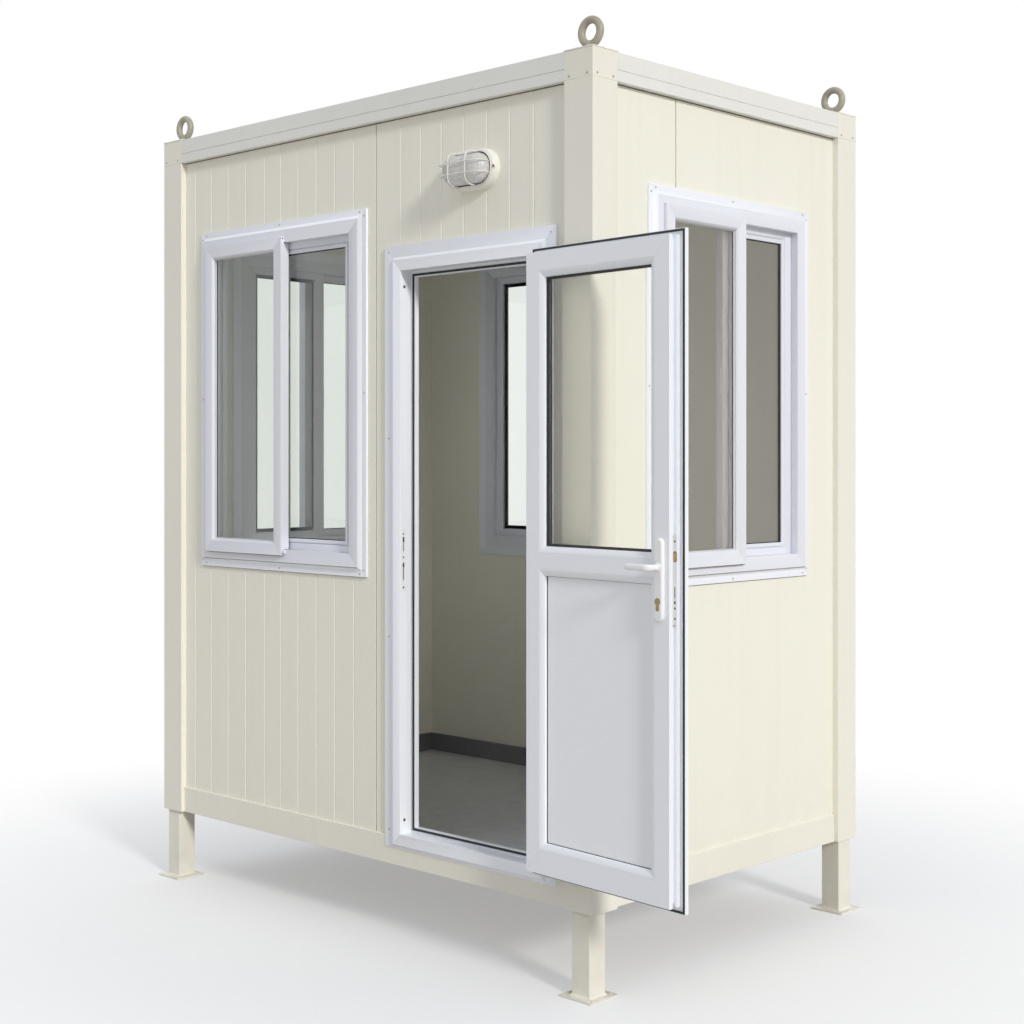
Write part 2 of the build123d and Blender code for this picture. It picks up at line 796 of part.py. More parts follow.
with BuildPart() as sash_stops:
    for face, edges in windows.values():
        sash_edge = (edges[0] + edges[1]) / 2 + sash_past_middle
        sill = edges[2] + window_trim_width + window_face
        with BuildSketch(face.offset(frame_proud)):
            span(
                sash_edge + sash_stop_gap,
                sash_edge + sash_stop_gap + sash_stop_size,
                sill - sash_stop_size,
                sill,
            )
        extrude(amount=sash_stop_proud)
sash_stops.part.label = "sash_stops"
export_step(sash_stops.part, "parts/sash_stops.step")

# ------------------------------------------------------------------- door frame and trim

door_bevel = frame_proud - door_trim_thickness
door_opening = (door_left, door_right, door_bottom, door_top)
stop_depth = frame_proud - rebate_depth
lock_plate_middle = handle_level - handle_plate_drop

# The keep lies in the jamb, level with the lock and behind its plate when the door is
# shut. Its plane has x inwards, y up from the middle of the keep and z to the opening.
leaf_flange_in = hinge_stand + panel_recess - frame_proud - leaf_seal_gap
lock_depth = leaf_flange_in + leaf_body_depth / 2
keep_face = Plane(
    origin=(door_left, lock_depth - half_depth - hinge_stand, leg_height + lock_plate_middle),
    x_dir=(0, 1, 0),
    z_dir=(1, 0, 0),
)
keep_slots = [
    (handle_plate_drop + latch_rise, keep_latch_slot),
    (handle_plate_drop - keep_bolt_drop, keep_bolt_slot),
]

with BuildPart() as door_frame:
    with BuildSketch(front_face.offset(frame_proud)):
        span(*frame_edges)
        span(*door_opening, mode=Mode.SUBTRACT)
    extrude(amount=-rebate_depth)
    with BuildSketch(front_face.offset(stop_depth)):
        span(*frame_edges)
        span(*shrink(door_opening, stop_width), mode=Mode.SUBTRACT)
    extrude(amount=-(stop_depth + panel_thickness))
    # A shallow bed in the jamb for the lock's keep, with a pocket behind each slot.
    with BuildSketch(keep_face):
        Rectangle(keep_width, keep_length)
    extrude(amount=-keep_thickness, mode=Mode.SUBTRACT)
    with BuildSketch(keep_face.offset(-keep_thickness)):
        for slot_level, slot_height in keep_slots:
            with Locations((0, slot_level)):
                Rectangle(keep_slot_width, slot_height)
    extrude(amount=-keep_pocket, mode=Mode.SUBTRACT)
door_frame.part.label = "door_frame"
export_step(door_frame.part, "parts/door_frame.step")

with BuildPart() as lock_keep:
    with BuildSketch(keep_face):
        Rectangle(keep_width, keep_length)
        for slot_level, slot_height in keep_slots:
            with Locations((0, slot_level)):
                Rectangle(keep_slot_width, slot_height, mode=Mode.SUBTRACT)
        with GridLocations(1, keep_length - 2 * keep_screw_from_end, 1, 2):
            Circle(keep_screw / 2, mode=Mode.SUBTRACT)
    extrude(amount=-keep_thickness)
lock_keep.part.label = "lock_keep"
export_step(lock_keep.part, "parts/lock_keep.step")

# A rubber seal runs all round the stop, where the leaf comes to rest.
frame_seal_edges = shrink(door_opening, frame_seal_margin)
with BuildPart() as frame_seal:
    with BuildSketch(front_face.offset(stop_depth)):
        span(*frame_seal_edges)
        span(*shrink(frame_seal_edges, frame_seal_width), mode=Mode.SUBTRACT)
    extrude(amount=frame_seal_proud)
frame_seal.part.label = "frame_seal"
export_step(frame_seal.part, "parts/frame_seal.step")

bevel_edges = shrink(frame_edges, -door_bevel)
trim_edges = shrink(bevel_edges, -door_flange)
trim_edges = (trim_edges[0], trim_edges[1], bevel_edges[2] - door_sill_flange, trim_edges[3])

with BuildPart() as door_trim:
    with BuildSketch(front_face):
        span(*trim_edges)
    extrude(amount=door_trim_thickness)
    with BuildSketch(front_face.offset(door_trim_thickness)):
        span(*bevel_edges)
    extrude(amount=door_bevel, taper=bevel)
    with BuildSketch(front_face):
        span(*frame_edges)
    extrude(amount=frame_proud, mode=Mode.SUBTRACT)
    # Its back is rebated over the base rail.
    with BuildSketch(front_face):
        span(trim_edges[0], trim_edges[1], trim_edges[2], base_rail_height)
    extrude(amount=panel_recess - base_rail_recess, mode=Mode.SUBTRACT)
door_trim.part.label = "door_trim"
export_step(door_trim.part, "parts/door_trim.step")

with BuildPart() as door_inner_trim:
    with BuildSketch(front_face.offset(-panel_thickness)):
        span(
            frame_edges[0] - inner_trim_width,
            frame_edges[1] + inner_trim_width,
            floor_level,
            frame_edges[3] + inner_trim_width,
        )
        span(frame_edges[0], frame_edges[1], floor_level, frame_edges[3], mode=Mode.SUBTRACT)
    extrude(amount=-inner_trim_thickness)
door_inner_trim.part.label = "door_inner_trim"
export_step(door_inner_trim.part, "parts/door_inner_trim.step")

# -------------------------------------------------------------------------- door leaf

# The leaf is drawn on a plane through the hinge axis: x along the leaf to its free edge,
# y up, and z towards its inner face. Turning that plane opens and shuts the door.
hinge_x = door_right + hinge_side
hinge_y = -half_depth - hinge_stand
along_x = -cos(radians(door_open_angle))
along_y = -sin(radians(door_open_angle))
leaf_face = Plane(
    origin=(hinge_x, hinge_y, leg_height),
    x_dir=(along_x, along_y, 0),
    z_dir=(along_y, -along_x, 0),
)

# The same leaf seen from above: x along the leaf, and its depths run towards -y.
leaf_plan = Plane(origin=(hinge_x, hinge_y, leg_height), x_dir=(along_x, along_y, 0), z_dir=(0, 0, 1))

# Depths on leaf_face.
frame_line = hinge_stand + panel_recess - frame_proud
flange_in = leaf_flange_in
flange_out = flange_in - leaf_flange_thickness
leaf_in = flange_in + leaf_body_depth

leaf_edges = (
    hinge_side + leaf_side_gap,
    hinge_side + door_width - leaf_side_gap,
    door_bottom + leaf_end_gap,
    door_top - leaf_end_gap,
)
glass_edges = (
    leaf_edges[0] + leaf_stile,
    leaf_edges[1] - leaf_stile,
    mid_rail_level + mid_rail_height,
    leaf_edges[3] - leaf_top_rail,
)
panel_edges = (
    leaf_edges[0] + leaf_stile,
    leaf_edges[1] - leaf_stile,
    leaf_edges[2] + leaf_bottom_rail,
    mid_rail_level,
)
handle_x = leaf_edges[1] - handle_from_edge
pane_middle = (flange_out + leaf_in) / 2


def draw_cylinder_profile():
    """The round head and narrow tail of a lock cylinder, head up, about its head."""
    Circle(cylinder_radius)
    with Locations((0, (cylinder_tail / 2 + cylinder_radius - cylinder_length) / 2)):
        Rectangle(cylinder_tail, cylinder_length - cylinder_radius - cylinder_tail / 2)
    with Locations((0, cylinder_radius + cylinder_tail / 2 - cylinder_length)):
        Circle(cylinder_tail / 2)


with BuildPart() as door_leaf:
    with BuildSketch(leaf_face.offset(flange_out)):
        span(*shrink(leaf_edges, -leaf_overlap))
    extrude(amount=leaf_flange_thickness)
    with BuildSketch(leaf_face.offset(flange_in)):
        span(*leaf_edges)
    extrude(amount=leaf_body_depth)
    with BuildSketch(leaf_face.offset(flange_out)):
        span(*glass_edges)
        span(*panel_edges)
    extrude(amount=leaf_in - flange_out, mode=Mode.SUBTRACT)
    # Bevelled beads round both openings, on both faces.
    for opening in (glass_edges, panel_edges):
        with BuildSketch(leaf_face.offset(leaf_in)):
            span(*shrink(opening, -bead))
        extrude(amount=-bead, taper=bevel, mode=Mode.SUBTRACT)
        with BuildSketch(leaf_face.offset(flange_out)):
            span(*shrink(opening, -bead))
        extrude(amount=bead, taper=bevel, mode=Mode.SUBTRACT)
    # Grooves that hold the glass and the solid panel.
    with BuildSketch(leaf_face.offset(pane_middle - door_glass_thickness / 2)):
        span(*shrink(glass_edges, -pane_grip))
    extrude(amount=door_glass_thickness, mode=Mode.SUBTRACT)
    with BuildSketch(leaf_face.offset(pane_middle - door_panel_thickness / 2)):
        span(*shrink(panel_edges, -pane_grip))
    extrude(amount=door_panel_thickness, mode=Mode.SUBTRACT)
    # Holes for the spindle and the lock cylinder, and the recess for the lock's plate.
    with BuildSketch(leaf_face.offset(flange_out)):
        with Locations((handle_x, handle_level)):
            Circle(spindle / sqrt(2) + spindle_fit)
        with Locations((handle_x, handle_level - keyhole_drop)):
            draw_cylinder_profile()
    extrude(amount=leaf_in - flange_out, mode=Mode.SUBTRACT)
    with BuildSketch(leaf_face.offset(lock_depth - lock_plate_width / 2)):
        span(
            leaf_edges[1] - lock_plate_thickness,
            leaf_edges[1],
            lock_plate_middle - lock_plate_length / 2,
            lock_plate_middle + lock_plate_length / 2,
        )
    extrude(amount=lock_plate_width, mode=Mode.SUBTRACT)
door_leaf.part.label = "door_leaf"
export_step(door_leaf.part, "parts/door_leaf.step")

leaf_seal_edges = shrink(leaf_edges, -leaf_seal_margin)
with BuildPart() as leaf_seal:
    with BuildSketch(leaf_face.offset(flange_in)):
        span(*shrink(leaf_seal_edges, -leaf_seal_width))
        span(*leaf_seal_edges, mode=Mode.SUBTRACT)
    extrude(amount=leaf_seal_proud)
leaf_seal.part.label = "leaf_seal"
export_step(leaf_seal.part, "parts/leaf_seal.step")

with BuildPart() as door_glass:
    with BuildSketch(leaf_face.offset(pane_middle - door_glass_thickness / 2)):
        span(*shrink(glass_edges, -pane_grip))
    extrude(amount=door_glass_thickness)
door_glass.part.label = "door_glass"
export_step(door_glass.part, "parts/door_glass.step")

with BuildPart() as door_panel:
    with BuildSketch(leaf_face.offset(pane_middle - door_panel_thickness / 2)):
        span(*shrink(panel_edges, -pane_grip))
    extrude(amount=door_panel_thickness)
door_panel.part.label = "door_panel"
export_step(door_panel.part, "parts/door_panel.step")

# ------------------------------------------------------------------- lock and handles

with BuildPart() as door_lock:
    with BuildSketch(leaf_face.offset(lock_depth - lock_plate_width / 2)):
        span(
            leaf_edges[1] - lock_plate_thickness,
            leaf_edges[1],
            lock_plate_middle - lock_plate_length / 2,
            lock_plate_middle + lock_plate_length / 2,
        )
    extrude(amount=lock_plate_width)
    # The latch bolt. Its nose slopes on the side that meets the frame as the door shuts.
    latch_nose = leaf_edges[1] + latch_throw
    latch_start = lock_depth - latch_width / 2
    with BuildSketch(leaf_plan.offset(handle_level + latch_rise - latch_height / 2)):
        with BuildLine():
            Polyline(
                (leaf_edges[1], -latch_start),
                (latch_nose, -latch_start),
                (latch_nose, -latch_start - latch_flat),
                (leaf_edges[1], -latch_start - latch_width),
                close=True,
            )
        make_face()
    extrude(amount=latch_height)
door_lock.part.label = "door_lock"
export_step(door_lock.part, "parts/door_lock.step")

with BuildPart() as lock_cylinder:
    with BuildSketch(leaf_face.offset(flange_out - handle_plate_thickness - cylinder_proud)):
        with Locations((handle_x, handle_level - keyhole_drop)):
            draw_cylinder_profile()
    extrude(amount=leaf_in - flange_out + 2 * (handle_plate_thickness + cylinder_proud))
lock_cylinder.part.label = "lock_cylinder"
export_step(lock_cylinder.part, "parts/lock_cylinder.step")

with BuildPart() as handle_plates:
    for start, outwards in ((leaf_in, 1), (flange_out, -1)):
        with BuildSketch(leaf_face.offset(start)):
            with Locations((handle_x, lock_plate_middle)):
                SlotOverall(handle_plate_length, handle_plate_width, rotation=90)
        extrude(amount=outwards * handle_plate_thickness)
        with BuildSketch(leaf_face.offset(start)):
            with Locations((handle_x, handle_level)):
                Circle(lever_neck + spindle_fit)
            with Locations((handle_x, handle_level - keyhole_drop)):
                draw_cylinder_profile()
        extrude(amount=outwards * handle_plate_thickness, mode=Mode.SUBTRACT)
handle_plates.part.label = "handle_plates"
export_step(handle_plates.part, "parts/handle_plates.step")

with BuildPart() as door_handle:
    with BuildSketch(leaf_face.offset(flange_out)):
        with Locations((handle_x, handle_level)):
            Rectangle(spindle, spindle)
    extrude(amount=leaf_in - flange_out)
    for start, outwards in ((leaf_in, 1), (flange_out, -1)):
        with BuildSketch(leaf_face.offset(start)):
            with Locations((handle_x, handle_level)):
                Circle(lever_neck)
        extrude(amount=outwards * (handle_plate_thickness + lever_reach))
        lever_start = start + outwards * (handle_plate_thickness + lever_reach - lever_thickness / 2)
        with BuildSketch(leaf_face.offset(lever_start)):
            with Locations((handle_x - lever_length / 2 + lever_height / 2, handle_level)):
                SlotOverall(lever_length, lever_height)
        extrude(amount=outwards * lever_thickness)
door_handle.part.label = "door_handle"
export_step(door_handle.part, "parts/door_handle.step")

# ----------------------------------------------------------------------------- hinges

hinge_levels = [
    leaf_edges[2] + hinge_from_end,
    (leaf_edges[2] + leaf_edges[3]) / 2,
    leaf_edges[3] - hinge_from_end,
]
hinge_plan = Plane(origin=(hinge_x, hinge_y, leg_height), x_dir=(1, 0, 0), z_dir=(0, 0, 1))
knuckle_start = hinge_middle / 2 + knuckle_gap

# The half on the frame: two end knuckles on arms from a plate, and the pin.
with BuildPart() as frame_hinges:
    for hinge_level in hinge_levels:
        for end in (-1, 1):
            with BuildSketch(hinge_plan.offset(hinge_level + end * knuckle_start)):
                Circle(knuckle_radius)
                span(-hinge_arm / 2, hinge_arm / 2, 0, frame_line)
                with Locations((0, frame_line - hinge_plate / 2)):
                    Rectangle(hinge_plate_width, hinge_plate)
            extrude(amount=end * knuckle_length)
        with BuildSketch(hinge_plan.offset(hinge_level - knuckle_start - knuckle_length)):
            Circle(hinge_pin)
        extrude(amount=2 * (knuckle_start + knuckle_length))
        with BuildSketch(hinge_plan.offset(hinge_level - knuckle_start)):
            with Locations((0, frame_line - hinge_plate / 2)):
                Rectangle(hinge_plate_width, hinge_plate)
        extrude(amount=2 * knuckle_start)
frame_hinges.part.label = "frame_hinges"
export_step(frame_hinges.part, "parts/frame_hinges.step")

# The half on the leaf: the middle knuckle, and a plate on the outer face of the flange.
leaf_plate_end = hinge_side + leaf_side_gap + hinge_plate_width
with BuildPart() as leaf_hinges:
    for hinge_level in hinge_levels:
        with BuildSketch(leaf_plan.offset(hinge_level - hinge_middle / 2)):
            Circle(knuckle_radius)
            span(0, leaf_plate_end, -flange_out, -flange_out + hinge_plate)
            Circle(hinge_pin + hinge_fit, mode=Mode.SUBTRACT)
        extrude(amount=hinge_middle)
leaf_hinges.part.label = "leaf_hinges"
export_step(leaf_hinges.part, "parts/leaf_hinges.step")

# ------------------------------------------------------------------------------- lamp

def draw_oval(length, height, mode=Mode.ADD):
    """Draws an oval with straight long sides round the middle of the lamp."""
    end_radius = height / 2
    corners_round = []
    for side in (1, -1):
        for step in range(oval_facets + 1):
            turn = radians(180 * step / oval_facets - 90)
            corners_round.append(
                (
                    lamp_x + side * (length / 2 - end_radius + end_radius * cos(turn)),
                    lamp_level + side * end_radius * sin(turn),
                )
            )
    Polygon(*corners_round, align=None, mode=mode)


with BuildPart() as lamp_base:
    with BuildSketch(front_face):
        draw_oval(lamp_length, lamp_height)
    extrude(amount=lamp_base_depth)
    chamfer(lamp_base.edges().group_by(Axis.Y)[0], lamp_base_chamfer)
    # A lug at one end of its rim takes a fixing screw.
    with BuildSketch(front_face.offset(lamp_base_depth)):
        with Locations((lamp_x + lamp_length / 2 - lamp_lug_inset, lamp_level)):
            SlotOverall(lamp_lug_length, lamp_lug_width)
    extrude(amount=-lamp_lug_thickness)
lamp_base.part.label = "lamp_base"
export_step(lamp_base.part, "parts/lamp_base.step")

with BuildPart() as lamp_lens:
    with BuildSketch(front_face.offset(lamp_base_depth)):
        draw_oval(lamp_lens_length, lamp_lens_height)
    extrude(amount=lamp_lens_depth)
    chamfer(lamp_lens.edges().group_by(Axis.Y)[0], lamp_lens_chamfer)
lamp_lens.part.label = "lamp_lens"
export_step(lamp_lens.part, "parts/lamp_lens.step")

# The guard: a hoop round the lens on the base, two wires that arch over it and two
# long ones that cross them, all bent back to the hoop at their ends.
hoop_length = lamp_lens_length + 2 * guard_stand
hoop_height = lamp_lens_height + 2 * guard_stand
guard_foot_y = front_face.origin.Y - lamp_base_depth - guard_wire
guard_rise = lamp_lens_depth + guard_stand - guard_wire     # foot to top of a wire's centre line
long_wire_rise = hoop_height / 6
long_wire_reach = (hoop_length - hoop_height) / 2 + sqrt((hoop_height / 2) ** 2 - long_wire_rise**2)
bend_shift = guard_wire * (sqrt(2) - 1)         # where an offset run meets the sloping one


def draw_wire(reach):
    """Draws one wire from the side: two feet, a sloping run at each bend and the top."""
    outer = reach + guard_wire
    inner = reach - guard_wire
    top = guard_rise + guard_wire
    underside = guard_rise - guard_wire
    bend_start = guard_rise - guard_bend
    flat = reach - guard_bend
    right_side = [
        (inner, 0),
        (outer, 0),
        (outer, bend_start + bend_shift),
        (flat + bend_shift, top),
    ]
    left_side = [(-x, rise) for x, rise in reversed(right_side)]
    under = [
        (-inner, bend_start - bend_shift),
        (-flat + bend_shift, underside),
        (flat - bend_shift, underside),
        (inner, bend_start - bend_shift),
    ]
    Polygon(*right_side, *left_side, *under, align=None)


with BuildPart() as lamp_guard:
    with BuildSketch(front_face.offset(lamp_base_depth)):
        draw_oval(hoop_length + 2 * guard_wire, hoop_height + 2 * guard_wire)
        draw_oval(hoop_length - 2 * guard_wire, hoop_height - 2 * guard_wire, Mode.SUBTRACT)
    extrude(amount=2 * guard_wire)
    for side in (-1, 1):
        arch_foot = (lamp_x + side * guard_arch_place, guard_foot_y, leg_height + lamp_level)
        with BuildSketch(Plane(origin=arch_foot, x_dir=(0, 0, 1), z_dir=(1, 0, 0))):
            draw_wire(hoop_height / 2)
        extrude(amount=guard_wire, both=True)
        long_foot = (lamp_x, guard_foot_y, leg_height + lamp_level + side * long_wire_rise)
        with BuildSketch(Plane(origin=long_foot, x_dir=(1, 0, 0), z_dir=(0, 0, -1))):
            draw_wire(long_wire_reach)
        extrude(amount=guard_wire, both=True)
lamp_guard.part.label = "lamp_guard"
export_step(lamp_guard.part, "parts/lamp_guard.step")
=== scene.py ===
# %% [markdown]
# # A guard booth, finished in Blender
# The booth is a small steel cabin on legs: insulated wall panels between folded posts, white
# plastic windows and a glazed door folded right back. The imported model gives every size and
# every moving body, so this lesson only adds what the eye needs: ribs, mitres, gaskets, screws,
# rounded edges and paint. We load the model first.

# %% Load the imported model
import json
import math

import bmesh
import bpy
from mathutils import Matrix, Vector


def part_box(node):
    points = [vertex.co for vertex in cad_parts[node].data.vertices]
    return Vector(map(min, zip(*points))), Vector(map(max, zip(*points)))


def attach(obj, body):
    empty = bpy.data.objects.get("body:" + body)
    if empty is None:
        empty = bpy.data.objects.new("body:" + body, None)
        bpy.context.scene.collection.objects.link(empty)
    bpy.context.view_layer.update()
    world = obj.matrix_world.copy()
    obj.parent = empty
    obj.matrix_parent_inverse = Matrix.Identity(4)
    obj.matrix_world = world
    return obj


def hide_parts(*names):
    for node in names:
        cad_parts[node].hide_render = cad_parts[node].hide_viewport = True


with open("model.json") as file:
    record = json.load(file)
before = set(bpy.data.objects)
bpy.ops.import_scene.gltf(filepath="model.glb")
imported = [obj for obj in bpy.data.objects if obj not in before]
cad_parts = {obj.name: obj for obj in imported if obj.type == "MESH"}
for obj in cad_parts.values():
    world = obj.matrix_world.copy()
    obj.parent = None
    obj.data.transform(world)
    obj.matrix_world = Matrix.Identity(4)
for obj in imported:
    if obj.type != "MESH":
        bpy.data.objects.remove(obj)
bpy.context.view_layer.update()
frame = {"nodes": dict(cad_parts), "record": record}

nodes = frame["nodes"]
slots = {part["node"]: part["material_slot"] for part in frame["record"]["subparts"]}

# %% [markdown]
# ## The camera
# The booth is seen from its right front corner with every upright exactly vertical. A person
# taking such a picture holds the camera level at eye height, and frames the booth by sliding
# the lens instead of tilting it. Blender's camera shift does the same thing.

# %% Place a level camera at eye height
scene = bpy.context.scene


def add_object(name, data):
    made = bpy.data.objects.new(name, data)
    scene.collection.objects.link(made)
    return made


camera_data = bpy.data.cameras.new("camera")
camera_data.sensor_width = 36.0
camera_data.lens = 58.05
camera_data.shift_y = -0.0508
camera = add_object("camera", camera_data)
camera.location = (4.52, -4.61, 1.685)
camera.rotation_euler = (math.radians(90), 0, math.radians(43.88))
scene.camera = camera
print("camera", list(camera.location), camera_data.lens, "mm")

# %% [markdown]
# ## Small tools for shader nodes
# The sky, the floor and every finish below are a handful of nodes wired together. A few short
# helpers do the wiring: one adds a node and feeds its inputs, the others are the sums we need
# most often. An input takes either a plain value or the socket of another node.

# %% Add, feed and combine nodes
SMOOTH = "SMOOTHSTEP"


def feed(tree, node, inputs):
    """Fills a node's inputs from plain values, or from sockets by a link."""
    for key, value in inputs.items():
        if isinstance(value, bpy.types.NodeSocket):
            tree.links.new(value, node.inputs[key])
        else:
            node.inputs[key].default_value = value


def add_node(tree, kind, inputs=(), **settings):
    """Adds a shader node with its settings and feeds it."""
    node = tree.nodes.new("ShaderNode" + kind)
    for name, value in settings.items():
        setattr(node, name, value)
    feed(tree, node, dict(inputs))
    return node


def combine(tree, operation, first, second):
    """One sum on two values."""
    return add_node(tree, "Math", {0: first, 1: second}, operation=operation).outputs[0]


def ranged(tree, value, low, high, to_low=0.0, to_high=1.0, way="LINEAR"):
    """A value spread from one range to another."""
    ends = {"Value": value, "From Min": low, "From Max": high, "To Min": to_low, "To Max": to_high}
    return add_node(tree, "MapRange", ends, interpolation_type=way).outputs["Result"]


def mixed(tree, factor, first, second):
    """Two colours mixed by a factor."""
    return add_node(tree, "Mix", {0: factor, 6: first, 7: second}, data_type="RGBA").outputs[2]


def seen_directly(tree):
    """1 where a ray from the camera, a reflection or a view through glass arrives."""
    path = add_node(tree, "LightPath").outputs
    either = combine(tree, "MAXIMUM", path["Is Camera Ray"], path["Is Glossy Ray"])
    return combine(tree, "MAXIMUM", either, path["Is Transmission Ray"])


print("node tools ready")

# %% [markdown]
# ## Light and ground
# The right wall is sunny and the front is in open shade. One soft sun low on the right does
# that: it skims the front, so ribs, returns and window reveals catch a bright edge there. The
# sky fills the rest. What the camera sees behind the booth is plain white, while the light on
# the booth keeps its own level, so a colour renders about as it is written.

# %% A sky that is brighter overhead and darker on the sunny side
scene.view_settings.view_transform = "Standard"
WHITE = (1, 1, 1, 1)
SKY_LEVEL = 0.41
SKY_COLOUR = (0.945, 0.98, 1.045, 1.0)
OVERHEAD = 1.2              # how much brighter the sky is straight up
SUNNY_SIDE = 0.45           # how much darker it is on the right, where the sun does the work

world = bpy.data.worlds.new("studio")
scene.world = world
world.use_nodes = True
tree = world.node_tree
tree.nodes.clear()
looking = add_node(tree, "TexCoord").outputs["Generated"]
direction = add_node(tree, "SeparateXYZ", {0: looking}).outputs
level = combine(tree, "MULTIPLY",
                ranged(tree, direction["X"], 0, 1, SKY_LEVEL, SKY_LEVEL * (1 - SUNNY_SIDE)),
                ranged(tree, direction["Z"], 0, 1, 1, 1 + OVERHEAD))
fill = add_node(tree, "Background", {"Color": SKY_COLOUR, "Strength": level})
white = add_node(tree, "Background", {"Color": WHITE})
sky = add_node(tree, "MixShader", {0: seen_directly(tree), 1: fill.outputs[0], 2: white.outputs[0]})
add_node(tree, "OutputWorld", {"Surface": sky.outputs[0]})
print("sky", SKY_LEVEL)

# %% A low soft sun
sun_data = bpy.data.lights.new("low_sun", "SUN")
sun_data.energy = 1.9
sun_data.angle = math.radians(9)
sun_data.color = (1.0, 0.985, 0.95)
sun = add_object("low_sun", sun_data)
sun.rotation_mode = "QUATERNION"
sun.rotation_quaternion = Vector((1.0, -0.28, 0.48)).to_track_quat("Z", "Y")
print("sun", sun_data.energy)

# %% A pale floor that fades into the white
FLOOR_REACH = 30
FADE_START, FADE_END = 1.2, 3.6         # metres from the middle of the booth
WHITE_AT_START = 0.35                   # how much of the floor is plain white near the booth
FLOOR_FOR_LIGHT = (0.62, 0.585, 0.54, 1)    # what lights the booth from below
FLOOR_FOR_EYES = (0.86, 0.86, 0.86, 1)      # what is seen

floor_mesh = bpy.data.meshes.new("floor")
corners = ((-1, -1), (1, -1), (1, 1), (-1, 1))
floor_mesh.from_pydata([(x * FLOOR_REACH, y * FLOOR_REACH, 0) for x, y in corners], [], [(0, 1, 2, 3)])
floor = add_object("floor", floor_mesh)
floor_paint = bpy.data.materials.new("pale_floor")
floor_paint.use_nodes = True
tree = floor_paint.node_tree
tree.nodes.clear()
seen = seen_directly(tree)
place = add_node(tree, "TexCoord").outputs["Object"]
distance = add_node(tree, "VectorMath", {0: place}, operation="LENGTH").outputs["Value"]
fade = ranged(tree, distance, FADE_START, FADE_END, WHITE_AT_START, way=SMOOTH)
matt = add_node(tree, "BsdfDiffuse", {"Color": mixed(tree, seen, FLOOR_FOR_LIGHT, FLOOR_FOR_EYES)})
glow = add_node(tree, "Emission")
ground = add_node(tree, "MixShader", {0: combine(tree, "MULTIPLY", fade, seen), 1: matt.outputs[0],
                                      2: glow.outputs[0]})
add_node(tree, "OutputMaterial", {"Surface": ground.outputs[0]})
floor_mesh.materials.append(floor_paint)
print("floor", FLOOR_REACH * 2, "m wide")

# %% [markdown]
# ## Shared surface effects
# Real paint and plastic are never one flat colour. Sprayed paint has a fine skin like orange
# peel, large sheets drift slightly in tone, rain leaves faint runs, and dust gathers low down.
# Each of these is one node group with named inputs, built once and used in many finishes with
# other values, so that a change to an effect reaches the whole booth.

# %% Tools for node groups
GREY = (0.8, 0.8, 0.8, 1)


def new_group(name, outputs, **inputs):
    """A node group with named sockets: the group, the sockets of its start, and its end."""
    group = bpy.data.node_groups.new(name, "ShaderNodeTree")
    for label, value in inputs.items():
        kind = "NodeSocketColor" if isinstance(value, tuple) else "NodeSocketFloat"
        socket = group.interface.new_socket(name=label, in_out="INPUT", socket_type=kind)
        socket.default_value = value
    for label, kind in outputs.items():
        group.interface.new_socket(name=label, in_out="OUTPUT", socket_type="NodeSocket" + kind)
    return group, group.nodes.new("NodeGroupInput").outputs, group.nodes.new("NodeGroupOutput")


def noise(group, scale, stretch, detail):
    """Noise over the surface in metres, drawn out by stretch along each axis."""
    place = add_node(group, "TexCoord").outputs["Object"]
    drawn_out = add_node(group, "Mapping", {"Vector": place, "Scale": stretch}).outputs["Vector"]
    inputs = {"Vector": drawn_out, "Scale": scale, "Detail": detail}
    return add_node(group, "TexNoise", inputs).outputs["Fac"]


def colour_where(group, start, end, mask, other):
    """Ends a group: its colour gives way to another where the mask is, by the amount given."""
    amount = combine(group, "MULTIPLY", mask, start["Amount"])
    feed(group, end, {"Colour": mixed(group, amount, start["Colour"], start[other])})


print("group tools ready")

# %% Tone drift, sprayed skin, rain runs and low dust
drift, start, end = new_group("tone_drift", {"Colour": "Color"}, Colour=GREY, Shade=(0.7, 0.7, 0.7, 1),
                              Amount=0.5, Scale=1.6)
clouds = noise(drift, start["Scale"], (1, 1, 0.6), 4.0)
colour_where(drift, start, end, ranged(drift, clouds, 0.35, 0.7), "Shade")

peel, start, end = new_group("sprayed_skin", {"Normal": "Vector", "Roughness": "Float"}, Scale=420.0,
                             Strength=0.08, Roughness=0.4)
grains = noise(peel, start["Scale"], (1, 1, 1), 2.0)
bump = add_node(peel, "Bump", {"Distance": 0.001, "Strength": start["Strength"], "Height": grains})
patches = noise(peel, start["Scale"], (0.012, 0.012, 0.012), 3.0)
gloss = combine(peel, "MULTIPLY", ranged(peel, patches, 0.3, 0.7, 0.93, 1.07), start["Roughness"])
feed(peel, end, {"Normal": bump.outputs["Normal"], "Roughness": gloss})

runs, start, end = new_group("rain_runs", {"Colour": "Color"}, Colour=GREY, Stain=(0.45, 0.42, 0.36, 1),
                             Amount=0.08)
streaks = noise(runs, 26.0, (1, 1, 0.035), 4.0)
colour_where(runs, start, end, ranged(runs, streaks, 0.5, 0.8), "Stain")

dust, start, end = new_group("low_dust", {"Colour": "Color"}, Colour=GREY, Dust=(0.42, 0.38, 0.31, 1),
                             Amount=0.25, Top=0.5)
place = add_node(dust, "TexCoord").outputs["Object"]
height = add_node(dust, "SeparateXYZ", {0: place}).outputs["Z"]
low = ranged(dust, height, 0, start["Top"], 1.0, 0.0, way=SMOOTH)
specks = noise(dust, 14.0, (1, 1, 1), 6.0)
colour_where(dust, start, end, combine(dust, "MULTIPLY", low, ranged(dust, specks, 0.3, 0.75)), "Dust")
print("groups", [g.name for g in bpy.data.node_groups])

